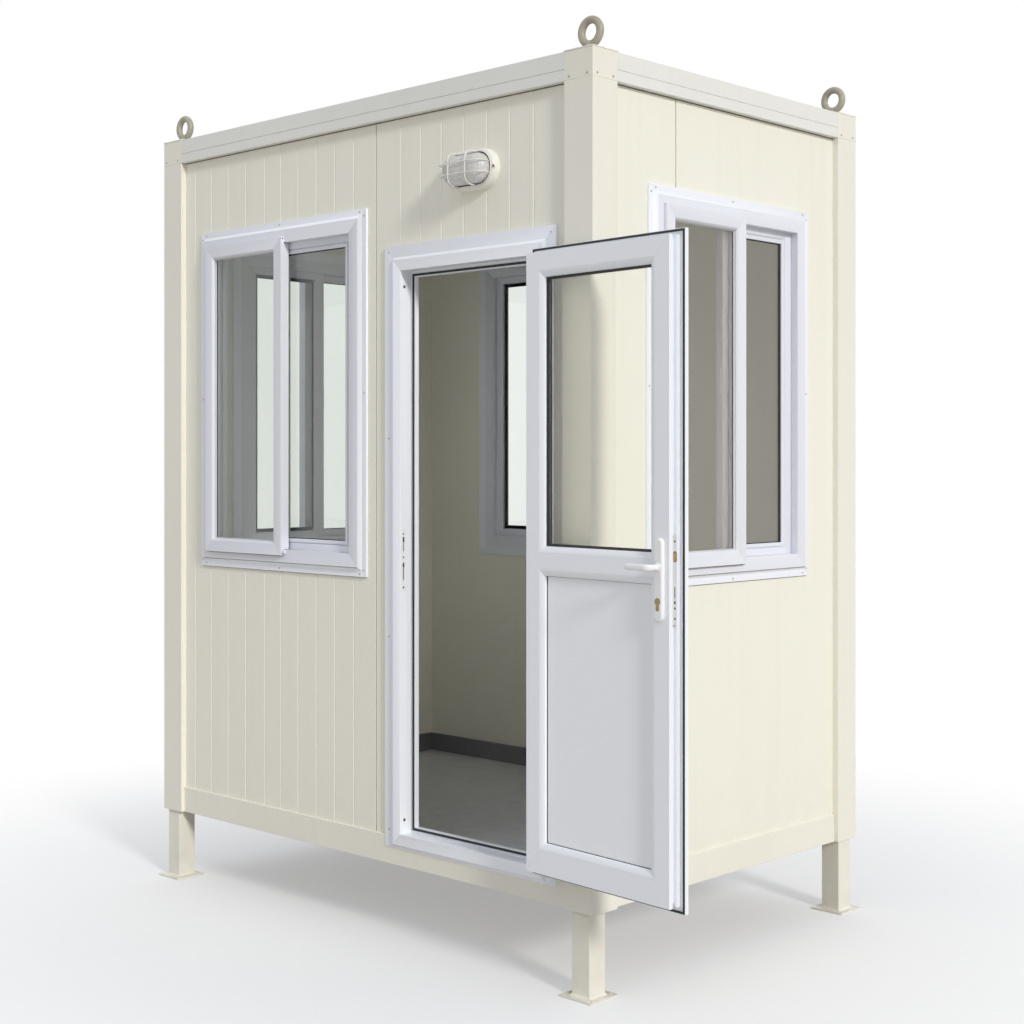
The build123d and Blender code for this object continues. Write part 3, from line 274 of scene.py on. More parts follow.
# %% [markdown]
# ## Paints, plastics and metals
# One helper lines the groups up in front of a Principled shader, in the order in which they
# happen on the real thing: the colour drifts, rain runs down it, dust settles at its foot, and
# the skin decides the gloss. What doesn't change over a surface is set on the shader's own
# socket.

# %% One helper for every finish
def srgb(colour):
    """A screen colour from 0 to 255, as the linear numbers that Blender wants."""
    linear = []
    for value in colour:
        value /= 255
        linear.append(value / 12.92 if value <= 0.04045 else ((value + 0.055) / 1.055) ** 2.4)
    return (*linear, 1.0)


def use_group(tree, group, **inputs):
    return add_node(tree, "Group", inputs, node_tree=group).outputs


finishes = {}


def finish(name, colour, shade, roughness, drift_amount=0.5, drift_scale=1.6, grain=420.0,
           grain_depth=0.08, stain=0.0, dusty=0.0, dust_top=0.5, **constants):
    """A material made of the shared effects, and of what stays the same all over it."""
    material = bpy.data.materials.new(name)
    material.use_nodes = True
    tree = material.node_tree
    seen = use_group(tree, drift, Colour=srgb(colour), Shade=srgb(shade), Amount=drift_amount,
                     Scale=drift_scale)
    if stain:
        seen = use_group(tree, runs, Colour=seen["Colour"], Amount=stain)
    if dusty:
        seen = use_group(tree, dust, Colour=seen["Colour"], Amount=dusty, Top=dust_top)
    skin = use_group(tree, peel, Scale=grain, Strength=grain_depth, Roughness=roughness)
    feed(tree, tree.nodes["Principled BSDF"], {
        "Base Color": seen["Colour"], "Normal": skin["Normal"], "Roughness": skin["Roughness"],
        **{label.replace("_", " "): value for label, value in constants.items()}})
    finishes[name] = material


print("ready to paint with", [g.name for g in (drift, runs, dust, peel)])

# %% Paints and sheet metal
finish("frame_paint", (238, 235, 223), (230, 226, 212), 0.42, stain=0.05, dusty=0.22, dust_top=0.34)
finish("rail_paint", (232, 232, 227), (224, 224, 217), 0.42, stain=0.04)
finish("panel_paint", (241, 239, 226), (236, 233, 218), 0.48, drift_scale=1.1, stain=0.05,
       dusty=0.16, dust_top=0.75, grain=650.0, grain_depth=0.06)
finish("ceiling_paint", (232, 230, 222), (224, 221, 211), 0.5, grain=650.0)
finish("roof_sheet", (196, 199, 201), (170, 174, 177), 0.38, drift_scale=30.0, drift_amount=0.9,
       Metallic=0.85, grain=60.0, grain_depth=0.05, stain=0.12)
finish("floor_deck", (150, 141, 126), (122, 113, 98), 0.8, drift_scale=9.0, grain=180.0, grain_depth=0.4)
finish("vinyl_floor", (210, 210, 214), (188, 189, 194), 0.42, drift_scale=22.0, grain=260.0,
       grain_depth=0.15)
finish("skirting", (128, 128, 134), (114, 114, 120), 0.4, grain=300.0)
print("paints", len(finishes))

# %% White plastics and rubber
profile = {"roughness": 0.32, "drift_scale": 0.9, "grain": 260.0}
finish("white_trim", (241, 244, 251), (238, 241, 249), stain=0.01, grain_depth=0.015, **profile)
finish("white_upvc", (230, 232, 240), (226, 228, 237), stain=0.008, grain_depth=0.012, **profile)
# The next white is the window plastic made lighter for the door's frame, leaf and beads, to stand in for the
# light that the doorway's glossy faces catch: painted light.
finish("door_upvc_painted_light", (244, 247, 253), (241, 244, 250), stain=0.008, grain_depth=0.012, **profile)
finish("door_panel", (247, 249, 252), (244, 246, 249), grain_depth=0.015, **profile)
finish("white_handle", (244, 244, 244), (238, 238, 237), 0.32, 0.4, 8.0, grain=700.0, grain_depth=0.05)
finish("white_hinge", (240, 241, 243), (228, 229, 231), 0.32, grain=700.0, grain_depth=0.06)
finish("black_seal", (34, 35, 38), (26, 27, 29), 0.62, drift_scale=40.0, grain=900.0, grain_depth=0.2)
finish("pale_seal", (206, 208, 208), (190, 192, 192), 0.5, grain=300.0)
# The next brown is painted shade: it colours the thin lines under the top rails and along the foot of each
# window.
finish("painted_shade_brown", (134, 122, 104), (96, 86, 72), 0.8, 0.9, 90.0, grain=900.0, grain_depth=0.3)
finish("lamp_body", (236, 234, 228), (231, 228, 219), 0.35, drift_scale=12.0, grain=600.0)
finish("keep_white", (243, 243, 240), (236, 236, 232), 0.34, 0.6, 30.0, grain=600.0)
# The next dark brown is painted shade: it colours holes and slots that are drawn as flat patches.
finish("painted_hole_shade", (52, 46, 40), (34, 30, 26), 0.7, 0.6, 60.0, grain=900.0)
print("finishes", len(finishes))

# %% Brass, steel and painted hardware
finish("brass", (170, 148, 106), (126, 106, 72), 0.36, drift_scale=60.0, Metallic=1.0, grain=900.0)
finish("lock_steel", (192, 193, 194), (165, 166, 168), 0.32, drift_scale=50.0, Metallic=1.0, grain=900.0)
finish("lamp_wire", (236, 233, 225), (220, 215, 203), 0.35, drift_scale=40.0, grain=900.0)
finish("eye_steel", (176, 170, 154), (150, 143, 126), 0.46, 0.8, 24.0, grain=300.0, grain_depth=0.15)
finish("screw_steel", (118, 106, 92), (84, 74, 64), 0.42, 0.9, 140.0, Metallic=0.6, grain=900.0)
finish("painted_screw", (196, 190, 176), (168, 160, 146), 0.42, 0.9, 140.0, grain=900.0)
finish("faceplate", (226, 227, 229), (208, 210, 212), 0.32, 0.6, 40.0, Metallic=0.3, grain=900.0)
print("finishes", len(finishes))

# %% [markdown]
# ## Glass
# Window glass is clear with a faint tint and a film of dust that only shows in its gloss. Light
# passes through one Principled shader and bends in the real thickness of each pane. The pane on
# the sunny side is a lit copy of the window glass, warmer and mirroring more than the rest:
# painted light. The lamp's glass is pressed and cloudy: the light behind it never shows as a
# sharp picture, so its roughness is high and it lets less through.

# %% Clear and pressed glass
def glass(name, tint, other_tint, roughness, drift_scale, ripple, transmission, shine=0.5):
    finish(name, tint, other_tint, roughness, 0.6, drift_scale, grain=ripple, grain_depth=0.02,
           Transmission_Weight=transmission, IOR=1.45, Specular_IOR_Level=shine)


glass("glass", (238, 242, 238), (231, 236, 232), 0.012, 2.0, 12.0, 1.0, shine=0.1)
# A lit copy of the window glass for the pane on the sunny side: painted light.
glass("sunlit_glass_copy", (240, 236, 230), (232, 229, 224), 0.015, 2.0, 12.0, 0.97)
glass("door_pane", (251, 251, 247), (247, 248, 243), 0.012, 2.0, 12.0, 1.0)
glass("lamp_glass", (246, 245, 243), (228, 227, 225), 0.3, 20.0, 60.0, 0.45)
print("glass", [m for m in finishes if "glass" in m or "pane" in m])

# %% [markdown]
# ## Drawing planes
# A joiner marks out every side of the cabin from its own face, and so do we. A matrix turns a
# drawing, with x across a face, y up from the ground and z out of it, into a place on the booth.
# The walls need one each. The open leaf needs its own too: it starts at the hinge pin and runs
# along the leaf, so the same drawing would fit at any door angle. All sizes come from the
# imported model.

# %% Views of the four walls and of the open leaf
def facing(origin, across, out):
    """A matrix with x across a face, y up it and z out of it."""
    across, out = Vector(across).normalized(), Vector(out).normalized()
    return Matrix.Translation(origin) @ Matrix((across, out.cross(across), out)).transposed().to_4x4()


MM = 0.001
front_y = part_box("front_wall_window")[0][1]
right_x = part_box("right_wall_back")[1][0]
WALLS = {
    "front": facing((0, front_y, 0), (1, 0, 0), (0, -1, 0)),
    "right": facing((right_x, 0, 0), (0, 1, 0), (1, 0, 0)),
    "back": facing((0, -front_y, 0), (-1, 0, 0), (0, 1, 0)),
    "left": facing((-right_x, 0, 0), (0, -1, 0), (-1, 0, 0)),
}
front, right, back, left = WALLS.values()
joints = frame["record"]["behaviour"]["joints"]
swing = next(joint for joint in joints if joint["name"] == "door_swing")
open_angle = math.radians(max(swing["range_deg"]))
leaf_along = (-math.cos(open_angle), -math.sin(open_angle), 0)
LEAF = facing((*swing["pos_m"][:2], 0), leaf_along, (leaf_along[1], -leaf_along[0], 0))


def edges_on(node, face):
    """A node's edges (x0, x1, z0, z1) and its depths (back, front) on a face."""
    if face is LEAF:
        points = [face.inverted() @ vertex.co for vertex in nodes[node].data.vertices]
    else:
        points = [face.inverted() @ Vector(corner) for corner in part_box(node)]
    spans = [(min(p[axis] for p in points), max(p[axis] for p in points)) for axis in range(3)]
    return (*spans[0], *spans[1]), spans[2]


def middle_of(edges):
    x0, x1, z0, z1 = edges
    return (x0 + x1) / 2, (z0 + z1) / 2


def shrink(edges, margin):
    x0, x1, z0, z1 = edges
    return (x0 + margin, x1 - margin, z0 + margin, z1 - margin)


leaf_edges, leaf_depths = edges_on("door_leaf", LEAF)
leaf_sides = ((leaf_depths[1], 1), (leaf_depths[0], -1))      # where each side is, and which way is out
print("leaf", [round(v, 4) for v in leaf_edges], "depth", [round(v, 4) for v in leaf_depths])

# %% [markdown]
# ## Three ways to make a solid
# Nearly every piece here is one of three things: a loft, which is a skin over a row of
# sections, a frame, which is a section carried round four corners, or a bar sawn out of a
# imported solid. Lofts make round things such as levers, eyes and the lamp. Frames make gaskets
# and beads. Sawn bars keep the exact packed section and only add the mitre joint.

# %% Lofts, round rings and boxes
def loft(bm, rings, closed=False):
    """Joins rings of points with strips of faces. An open row gets its two ends closed."""
    rows = [[bm.verts.new(point) for point in ring] for ring in rings]
    pairs = list(zip(rows, rows[1:])) + ([(rows[-1], rows[0])] if closed else [])
    count = len(rows[0])
    for first, second in pairs:
        for i in range(count):
            j = (i + 1) % count
            bm.faces.new((first[i], first[j], second[j], second[i]))
    if not closed:
        bm.faces.new(list(reversed(rows[0])))
        bm.faces.new(rows[-1])


def round_ring(face, x, z, wide, tall, depth, count=32, first=0.5):
    """A circle, or a slot shape when wide and tall differ. first shifts its first point."""
    radius = min(wide, tall) / 2
    ring = []
    for k in range(count):
        turn = 2 * math.pi * (k + first) / count
        ring.append(face @ Vector((
            x + math.copysign(wide / 2 - radius, math.cos(turn)) + radius * math.cos(turn),
            z + math.copysign(tall / 2 - radius, math.sin(turn)) + radius * math.sin(turn), depth)))
    return ring


def add_box(bm, face, x0, x1, z0, z1, back, front):
    square = ((x0, z0), (x1, z0), (x1, z1), (x0, z1))
    loft(bm, [[face @ Vector((x, z, depth)) for x, z in square] for depth in (back, front)])


print("solid tools ready")

# %% Frames carried round four corners
HAIRLINE = 0.5 * MM         # between bars that are screwed together
WELDED = 0.3 * MM           # between bars that are welded


def frame_corners(face, edges, section, foot=None):
    """A section at the four corners of an opening. Each of its points is (how far in from the
    edges, depth), and the bottom side may have other points, the foot."""
    x0, x1, z0, z1 = edges
    foot = foot or section

    def corner(x_edge, x_way, z_edge, z_way, end):
        return [face @ Vector((x_edge + x_way * u, z_edge + z_way * v, depth))
                for (u, depth), (v, _) in zip(section, end)]

    return [corner(x0, 1, z0, 1, foot), corner(x1, -1, z0, 1, foot),
            corner(x1, -1, z1, -1, section), corner(x0, 1, z1, -1, section)]


def add_ring(bm, face, edges, section):
    """A section bent round four corners without a joint."""
    loft(bm, frame_corners(face, edges, section), closed=True)


def add_bars(bm, face, edges, section, foot=None):
    """Four welded bars with mitred ends."""
    corners = frame_corners(face, edges, section, foot)
    for start, end in zip(corners, corners[1:] + corners[:1]):
        along = (end[0] - start[0]).normalized() * WELDED / 2
        loft(bm, [[point + along for point in start], [point - along for point in end]])


def in_mm(section):
    return [(u * MM, depth * MM) for u, depth in section]


print("hairlines", HAIRLINE, WELDED)

# %% From a drawn mesh to a piece
def round_edges(piece, roll, segments=2, harden=True):
    rolled = piece.modifiers.new("rolled", "BEVEL")
    rolled.width = roll
    rolled.segments = segments
    rolled.limit_method = "ANGLE"
    rolled.angle_limit = math.radians(28)
    rolled.harden_normals = harden


def make_piece(name, bm, material, body, replaced=(), roll=0.0, segments=2, soft=35):
    """A drawn mesh becomes a piece that rides on a body and stands for its nodes."""
    bmesh.ops.recalc_face_normals(bm, faces=bm.faces)
    mesh = bpy.data.meshes.new(name)
    bm.to_mesh(mesh)
    bm.free()
    mesh.shade_smooth()
    piece = add_object(name, mesh)
    mesh.materials.append(finishes[material])
    if roll:
        round_edges(piece, roll, segments)
    else:
        mesh.set_sharp_from_angle(angle=math.radians(soft))
    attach(piece, body)
    if replaced:
        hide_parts(*replaced)


print("piece tools ready")

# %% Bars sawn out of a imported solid
def solids_of(node):
    """The separate solids of a node, each as a welded mesh of its own."""
    whole = bmesh.new()
    whole.from_mesh(nodes[node].data)
    bmesh.ops.remove_doubles(whole, verts=whole.verts, dist=0.02 * MM)
    whole.verts.index_update()
    whole.verts.ensure_lookup_table()
    solids, not_found = [], set(range(len(whole.verts)))
    while not_found:
        island, newest = set(), {min(not_found)}
        while newest:
            island |= newest
            edges = {edge for i in newest for edge in whole.verts[i].link_edges}
            newest = {vertex.index for edge in edges for vertex in edge.verts} - island
        not_found -= island
        solid = whole.copy()
        others = [vertex for vertex in solid.verts if vertex.index not in island]
        bmesh.ops.delete(solid, geom=others, context="VERTS")
        solids.append(solid)
    whole.free()
    return solids


def saw_off(bm, face, x, z, away_x, away_z):
    """Cuts off what lies beyond a plane square to a face, and closes the cut."""
    away = (face.to_3x3() @ Vector((away_x, away_z, 0))).normalized()
    bmesh.ops.bisect_plane(
        bm, geom=bm.verts[:] + bm.edges[:] + bm.faces[:], dist=0.001 * MM,
        plane_co=face @ Vector((x, z, 0)), plane_no=away, clear_outer=True,
    )
    bmesh.ops.holes_fill(bm, edges=[edge for edge in bm.edges if edge.is_boundary], sides=0)


def add_sawn_frame(bm, solid, face, inner, gap, legs_only=False):
    """Saws a one-piece frame into mitred bars. inner is how far in its opening starts, in
    millimetres: left, right, bottom and top. legs_only leaves a frame without its bottom bar."""
    flat = [face.inverted() @ vertex.co for vertex in solid.verts]
    x0, x1 = min(p.x for p in flat), max(p.x for p in flat)
    z0, z1 = min(p.y for p in flat), max(p.y for p in flat)
    left, right, bottom, top = (edge + inset * MM for edge, inset in zip(
        (x0, x1, z0, z1), (inner[0], -inner[1], inner[2], -inner[3])))
    middle = middle_of((x0, x1, z0, z1))
    cuts = {
        "left": [(*middle, 1, 0), (left, bottom, 1, -1), (left, top, 1, 1)],
        "right": [(*middle, -1, 0), (right, bottom, -1, -1), (right, top, -1, 1)],
        "bottom": [(*middle, 0, 1), (left, bottom, -1, 1), (right, bottom, 1, 1)],
        "top": [(*middle, 0, -1), (left, top, -1, -1), (right, top, 1, -1)],
    }
    if legs_only:
        del cuts["bottom"], cuts["left"][1], cuts["right"][1]
    for planes in cuts.values():
        bar = solid.copy()
        for x, z, away_x, away_z in planes:
            back_off = gap / 4 if away_x and away_z else 0
            saw_off(bar, face, x - away_x * back_off, z - away_z * back_off, away_x, away_z)
        bmesh.ops.dissolve_limit(bar, angle_limit=math.radians(0.5), verts=bar.verts, edges=bar.edges)
        sawn = bpy.data.meshes.new("sawn")
        bar.to_mesh(sawn)
        bar.free()
        bm.from_mesh(sawn)
        bpy.data.meshes.remove(sawn)
    solid.free()


def wall_of(solid):
    """The wall whose face a solid lies in."""
    middle = sum((vertex.co for vertex in solid.verts), Vector()) / len(solid.verts)
    if abs(middle.y / front_y) > abs(middle.x / right_x):
        return front if middle.y < 0 else back
    return right if middle.x > 0 else left


print("saw ready")

# %% [markdown]
# ## Ribbed wall panels
# The front and back are clad in sandwich panels whose steel skin is rolled with narrow V ribs,
# about 105 mm apart. The ribs could be bump in the paint, but bump has no silhouette and no
# true shadow, so they are cut into the mesh. A panel is a grid of cells: a rib is three narrow
# columns, the cells of a doorway or window are left out, and the sides are closed. Ribs that
# run the full height are then cheap. The side walls are smooth, as rolled.

# %% Panels with rolled ribs
PANEL = 50 * MM
RIB_WIDTH = 8 * MM
RIB_DEPTH = 1.8 * MM
RIB_CLEAR = 20 * MM         # no rib comes nearer to a panel's end
JOINT_WIDTH = 2.6 * MM
JOINT_DEPTH = 12 * MM


def outer_depths(x0, x1, ribs, joints):
    """How deep the outer skin lies at each x where it bends."""
    depth_at = {x0: 0.0, x1: 0.0}
    for joint, inwards in zip((x0, x1), (1, -1)):
        if joint in joints:
            depth_at.update({joint: -JOINT_DEPTH, joint + inwards * JOINT_WIDTH * 0.8: -JOINT_DEPTH,
                             joint + inwards * JOINT_WIDTH: 0.0})
    for rib in ribs:
        if x0 + RIB_CLEAR < rib < x1 - RIB_CLEAR:
            depth_at.update({rib - RIB_WIDTH / 2: 0.0, rib - RIB_WIDTH / 8: -RIB_DEPTH,
                             rib + RIB_WIDTH / 8: -RIB_DEPTH, rib + RIB_WIDTH / 2: 0.0})
    return depth_at


def add_panel(bm, face, edges, ribs, holes, joints):
    """A closed panel with V ribs and sunk joints in its outer skin."""
    x0, x1, z0, z1 = edges
    depth_at = outer_depths(x0, x1, ribs, joints)
    xs = sorted(set(depth_at) | {h for hole in holes for h in hole[:2] if x0 < h < x1})
    zs = sorted({z0, z1} | {h for hole in holes for h in hole[2:] if z0 < h < z1})
    for x in xs:
        if x not in depth_at:
            after = min(other for other in depth_at if other > x)
            before = max(other for other in depth_at if other < x)
            share = (x - before) / (after - before)
            depth_at[x] = depth_at[before] * (1 - share) + depth_at[after] * share

    def solid(i, j):
        if not (0 <= i < len(xs) - 1 and 0 <= j < len(zs) - 1):
            return False
        x, z = (xs[i] + xs[i + 1]) / 2, (zs[j] + zs[j + 1]) / 2
        return not any(hole[0] < x < hole[1] and hole[2] < z < hole[3] for hole in holes)

    made = {}

    def point(i, j, outside):
        if (i, j, outside) not in made:
            depth = depth_at[xs[i]] if outside else -PANEL
            made[i, j, outside] = bm.verts.new(face @ Vector((xs[i], zs[j], depth)))
        return made[i, j, outside]

    for i, j in ((i, j) for i in range(len(xs) - 1) for j in range(len(zs) - 1) if solid(i, j)):
        square = [(i, j), (i + 1, j), (i + 1, j + 1), (i, j + 1)]
        for outside in (True, False):
            bm.faces.new([point(*corner, outside) for corner in square])
        beyond = ((i, j - 1), (i + 1, j), (i, j + 1), (i - 1, j))
        for side, neighbour in enumerate(beyond):
            if not solid(*neighbour):
                a, b = square[side], square[(side + 1) % 4]
                bm.faces.new([point(*a, True), point(*b, True), point(*b, False), point(*a, False)])


print("ribs", RIB_WIDTH, "wide and", RIB_DEPTH, "deep")

# %% Clad the four sides
def hole_round(node, face, packing=3 * MM):
    """The hole that a frame needs: its own edges and a packing gap."""
    return shrink(edges_on(node, face)[0], -packing)


def panel_edges(face, names):
    """The box round one or more wall nodes on a face."""
    x0, x1, z0, z1 = zip(*(edges_on(name, face)[0] for name in names))
    return min(x0), max(x1), min(z0), max(z1)


def clad(face, panels, ribs=()):
    """Draws the panels of a wall: {piece: (its nodes, its holes)}. They meet in one joint."""
    edges = {piece: panel_edges(face, names) for piece, (names, _) in panels.items()}
    joint = {max(e[0] for e in edges.values()), min(e[1] for e in edges.values())}
    for piece, (names, holes) in panels.items():
        bm = bmesh.new()
        add_panel(bm, face, edges[piece], ribs, holes, joint)
        make_piece(piece, bm, "panel_paint", "cabin", names, soft=12)


DOOR_RIBS = [0.882, 0.775, 0.670, 0.560, 0.453, 0.350, 0.249]
WINDOW_RIBS = [-0.003, -0.109, -0.214, -0.320, -0.423, -0.522, -0.641, -0.752, -0.863, -0.970, -1.076]
door_side = ["front_wall_beside_door", "front_wall_over_door", "front_wall_corner"]
x0, x1, _, z1 = hole_round("door_frame", front)
clad(front, {"ribbed_panel_window": (["front_wall_window"], [hole_round("window_frame_front", front)]),
             "ribbed_panel_door": (door_side, [(x0, x1, 0, z1)])}, DOOR_RIBS + WINDOW_RIBS)

BACK_MARGIN, BACK_PITCH, JOINT_CLEAR = 0.055, 0.1055, 0.03
back_nodes = ["back_wall_left", "back_wall_right"]
first_rib = panel_edges(back, back_nodes)[0] + BACK_MARGIN
joint = max(edges_on(name, back)[0][0] for name in back_nodes)
every_rib = [first_rib + BACK_PITCH * i for i in range(21)]
hole = hole_round("window_frame_back", back)
clad(back, {"ribbed_" + name: ([name], [hole]) for name in back_nodes},
     [rib for rib in every_rib if abs(rib - joint) > JOINT_CLEAR])
for side in ("right", "left"):
    hole = hole_round("window_frame_" + side, WALLS[side])
    clad(WALLS[side], {f"smooth_panel_{side}_{part}": ([f"{side}_wall_{part}"], [hole])
                       for part in ("front", "back")})

# %% Painted shade under the top rails
# A narrow gap stays open between the panels and each top rail; the brown strip in it is painted shade.
bm = bmesh.new()
rail_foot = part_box("top_rails")[0][2]
for face, names in ((front, ["front_wall_window"] + door_side), (back, back_nodes),
                    (right, ["right_wall_front", "right_wall_back"]),
                    (left, ["left_wall_front", "left_wall_back"])):
    x0, x1 = panel_edges(face, names)[:2]
    add_box(bm, face, x0 + 1 * MM, x1 - 1 * MM, rail_foot - 4 * MM, rail_foot + 1 * MM, -1 * MM, 0.6 * MM)
make_piece("rail_shade_strips", bm, "painted_shade_brown", "cabin")
print("gap at", round(rail_foot, 4), "m")

# %% [markdown]
# ## Mitred trims, frames and sashes
# Plastic window profiles are sawn at 45 degrees and joined at the corners, and the joint shows
# as a fine line. A packed ring has no joint, so each ring is sawn into four bars through the
# corners of its opening, a hairline is left between them, and every edge gets a small radius.
# The light then draws the mitre by itself, and the section stays exactly as packed.

# %% Saw the rings of the windows and of the doorway
def mitred(node, material, inner, gap, roll, legs_only=False):
    bm = bmesh.new()
    for solid in solids_of(node):
        add_sawn_frame(bm, solid, wall_of(solid), inner, gap, legs_only)
    make_piece("mitred_" + node, bm, material, "cabin", [node], roll=roll)


mitred("window_trims", "white_trim", (34, 34, 34, 34), HAIRLINE, 1.2 * MM)
mitred("window_inner_trims", slots["window_inner_trims"], (40, 40, 40, 40), HAIRLINE, 1 * MM)
mitred("door_trim", "white_trim", (52, 52, 15, 52), HAIRLINE, 1.2 * MM)
# The door frame takes the lighter door plastic, which is painted light.
mitred("door_frame", "door_upvc_painted_light", (58, 58, 58, 58), WELDED, 1.2 * MM)
mitred("door_inner_trim", slots["door_inner_trim"], (40, 40, 0, 40), HAIRLINE, 1 * MM, legs_only=True)
inner_faces = {}            # how deep the face of each inner sash lies, in millimetres
for side, face in WALLS.items():
    mitred("window_frame_" + side, slots["window_frame_" + side], (48, 48, 48, 48), WELDED, 1 * MM)
    node = "window_sashes_" + side
    bm = bmesh.new()
    for solid in solids_of(node):
        face_depth = max((face.inverted() @ vertex.co).z for vertex in solid.verts)
        outer_sash = face_depth > 0
        if not outer_sash:
            inner_faces[side] = face_depth / MM
        add_sawn_frame(bm, solid, face, (50, 50, 50, 50) if outer_sash else (52, 52, 41, 39), WELDED)
    make_piece("mitred_" + node, bm, slots[node], "cabin", [node], roll=1 * MM)

# %% [markdown]
# ## Glazing gaskets and beads
# A pane is held by soft wedges pressed in all round, on both faces. They draw the dark line
# between glass and plastic, and outside the outer sash they are pale. A gasket is a small
# section carried round four corners without a joint, because it is bent round them. One helper
# makes the ring for any opening, and it serves windows and door alike. Each inner sash also has
# a raised bead that holds its pane.

# %% Gaskets on both faces of every window pane
def add_gasket(bm, face, opening, pane, outwards, width, height):
    """A rubber wedge between a pane's face and the edge of its opening. Sizes in millimetres."""
    wedge = ((-0.2, 0), (width, 0), (width * 0.92, height * 0.4), (width * 0.45, height * 0.85),
             (-0.2, height))
    add_ring(bm, face, opening, in_mm((u, pane + outwards * rise) for u, rise in wedge))


SASH_OVERLAP = 27 * MM      # frame edge to the edge of the outer sash
PANE_IN = 77 * MM           # frame edge to the opening of a sash
INNER_END = 90 * MM         # the same at the free end of the inner sash
BEAD_WIDTH = 13             # the strip that holds the pane in the inner sash, in millimetres
OUTER_PANE, INNER_PANE = (12, 18), (-27, -21)       # back and front face of each pane
bm, pale, beads = bmesh.new(), bmesh.new(), bmesh.new()
for side, face in WALLS.items():
    edges, _ = edges_on("window_frame_" + side, face)
    middle, _ = middle_of(edges)
    low, high = edges[2] + PANE_IN, edges[3] - PANE_IN
    outer_opening = (edges[0] + PANE_IN, middle - 9 * MM, low, high)
    beaded = (middle, edges[1] - INNER_END, low, high)
    inner_opening = shrink(beaded, BEAD_WIDTH * MM)
    sash = inner_faces[side]
    add_ring(beads, face, beaded, in_mm((
        (-0.2, sash - 0.5), (0.8, sash - 0.5), (BEAD_WIDTH - 1.5, sash - 1.2), (BEAD_WIDTH, sash - 2.4),
        (BEAD_WIDTH, INNER_PANE[1]), (-0.2, INNER_PANE[1]))))
    add_gasket(pale, face, outer_opening, OUTER_PANE[1], 1, 4.5, 5)
    add_gasket(bm, face, inner_opening, INNER_PANE[1], 1, 2.4, 5)
    for opening, pane in ((outer_opening, OUTER_PANE[0]), (inner_opening, INNER_PANE[0])):
        add_gasket(bm, face, opening, pane, -1, 3, 4)
make_piece("sash_beads", beads, "white_upvc", "cabin", roll=0.8 * MM)
make_piece("window_gaskets", bm, "black_seal", "cabin")
make_piece("pale_gaskets", pale, "pale_seal", "cabin")
print("gaskets", len(WALLS) * 4, "beads", len(WALLS))

# %% Painted shade lines at the foot of each window, and plug holes
# A sliding sash runs on brushed pile, and the joint under each sill is filled. Brown strips there
# and under each trim stand for the shadow lines along the foot of the window: painted shade.
bm, holes = bmesh.new(), bmesh.new()
for side, face in WALLS.items():
    x0, x1, z0, z1 = edges_on("window_frame_" + side, face)[0]
    sash_end = (x0 + x1) / 2 + 41 * MM
    foot = z0 + SASH_OVERLAP
    add_box(bm, face, x0 + 30 * MM, sash_end - 2 * MM, foot - 2.6 * MM, foot + 0.6 * MM, 19 * MM, 31 * MM)
    add_box(bm, face, x0 - 0.5 * MM, x1 + 0.5 * MM, z0 - 2.4 * MM, z0 + 0.2 * MM, 16 * MM, 20.3 * MM)
    add_box(bm, face, x0 - 32 * MM, x1 + 32 * MM, z0 - 36.2 * MM, z0 - 33.6 * MM, -0.5 * MM, 3 * MM)
    # The plug holes in the side of each outer sash are flat dark patches of painted shade.
    for z in (foot + 5 * MM, z1 - SASH_OVERLAP - 9 * MM):
        add_box(holes, face, sash_end - 1 * MM, sash_end + 0.25 * MM, z, z + 4 * MM, 23 * MM, 30 * MM)
make_piece("brush_seals_and_shade_lines", bm, "painted_shade_brown", "cabin", roll=0.6 * MM)
make_piece("plug_holes", holes, "painted_hole_shade", "cabin")
print("brush seals and joints", 3 * len(WALLS))

# %% [markdown]
# ## The door leaf
# The leaf is the finest joinery on the booth: four welded bars with a flange that laps the
# frame, a middle rail let in between the stiles, a lock groove round the outer edge, and loose
# beads that clip in round the glass and the panel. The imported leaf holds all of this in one
# plain solid, so here it is drawn again from its section. The bars and beads are separate
# solids with hairlines between them, as they are on the real door.

# %% Bars, middle rail and beads
# Sections: (from the outer edge inwards, depth), in millimetres.
BAR = [(0, -2), (0, 12), (20, 12), (20, 27), (23, 27), (23, 29), (31, 29), (31, 41), (23, 41), (23, 43),
       (20, 43), (20, 58), (80, 58), (80, 40.5), (90, 40.5), (90, 15.5), (100, 15.5), (100, 5), (93, -2)]
BEAD = [(0.1, 40.5), (0.1, 57.4), (0.8, 57.9), (5, 57), (16.5, 51.2), (19.2, 49.2), (20, 47), (20, 40.5)]
BOTTOM_EXTRA = 18           # the bottom rail is this much wider
BAR_WIDTH = 100 * MM
HAIR = 0.2 * MM             # between the middle rail and the stiles
LAP = 10 * MM               # how far a pane reaches under its bar
bm = bmesh.new()
foot = [(u + BOTTOM_EXTRA if u > 60 else u, depth) for u, depth in BAR]
add_bars(bm, LEAF, leaf_edges, in_mm(BAR), in_mm(foot))
stile = (leaf_edges[0] + BAR_WIDTH, leaf_edges[1] - BAR_WIDTH)
glass_z, panel_z = edges_on("door_glass", LEAF)[0][2:], edges_on("door_panel", LEAF)[0][2:]
opening_glass = (*stile, glass_z[0] + LAP, glass_z[1] - LAP)
opening_panel = (*stile, panel_z[0] + LAP, panel_z[1] - LAP)
rail_foot, rail_top = opening_panel[3], opening_glass[2]
for reach, back_depth, front_depth in ((20, 40.5, 58), (10, 15.5, 40.6), (0, -2, 15.6)):
    add_box(bm, LEAF, stile[0] - reach * MM + HAIR, stile[1] + reach * MM - HAIR,
            rail_foot + reach * MM, rail_top - reach * MM, back_depth * MM, front_depth * MM)
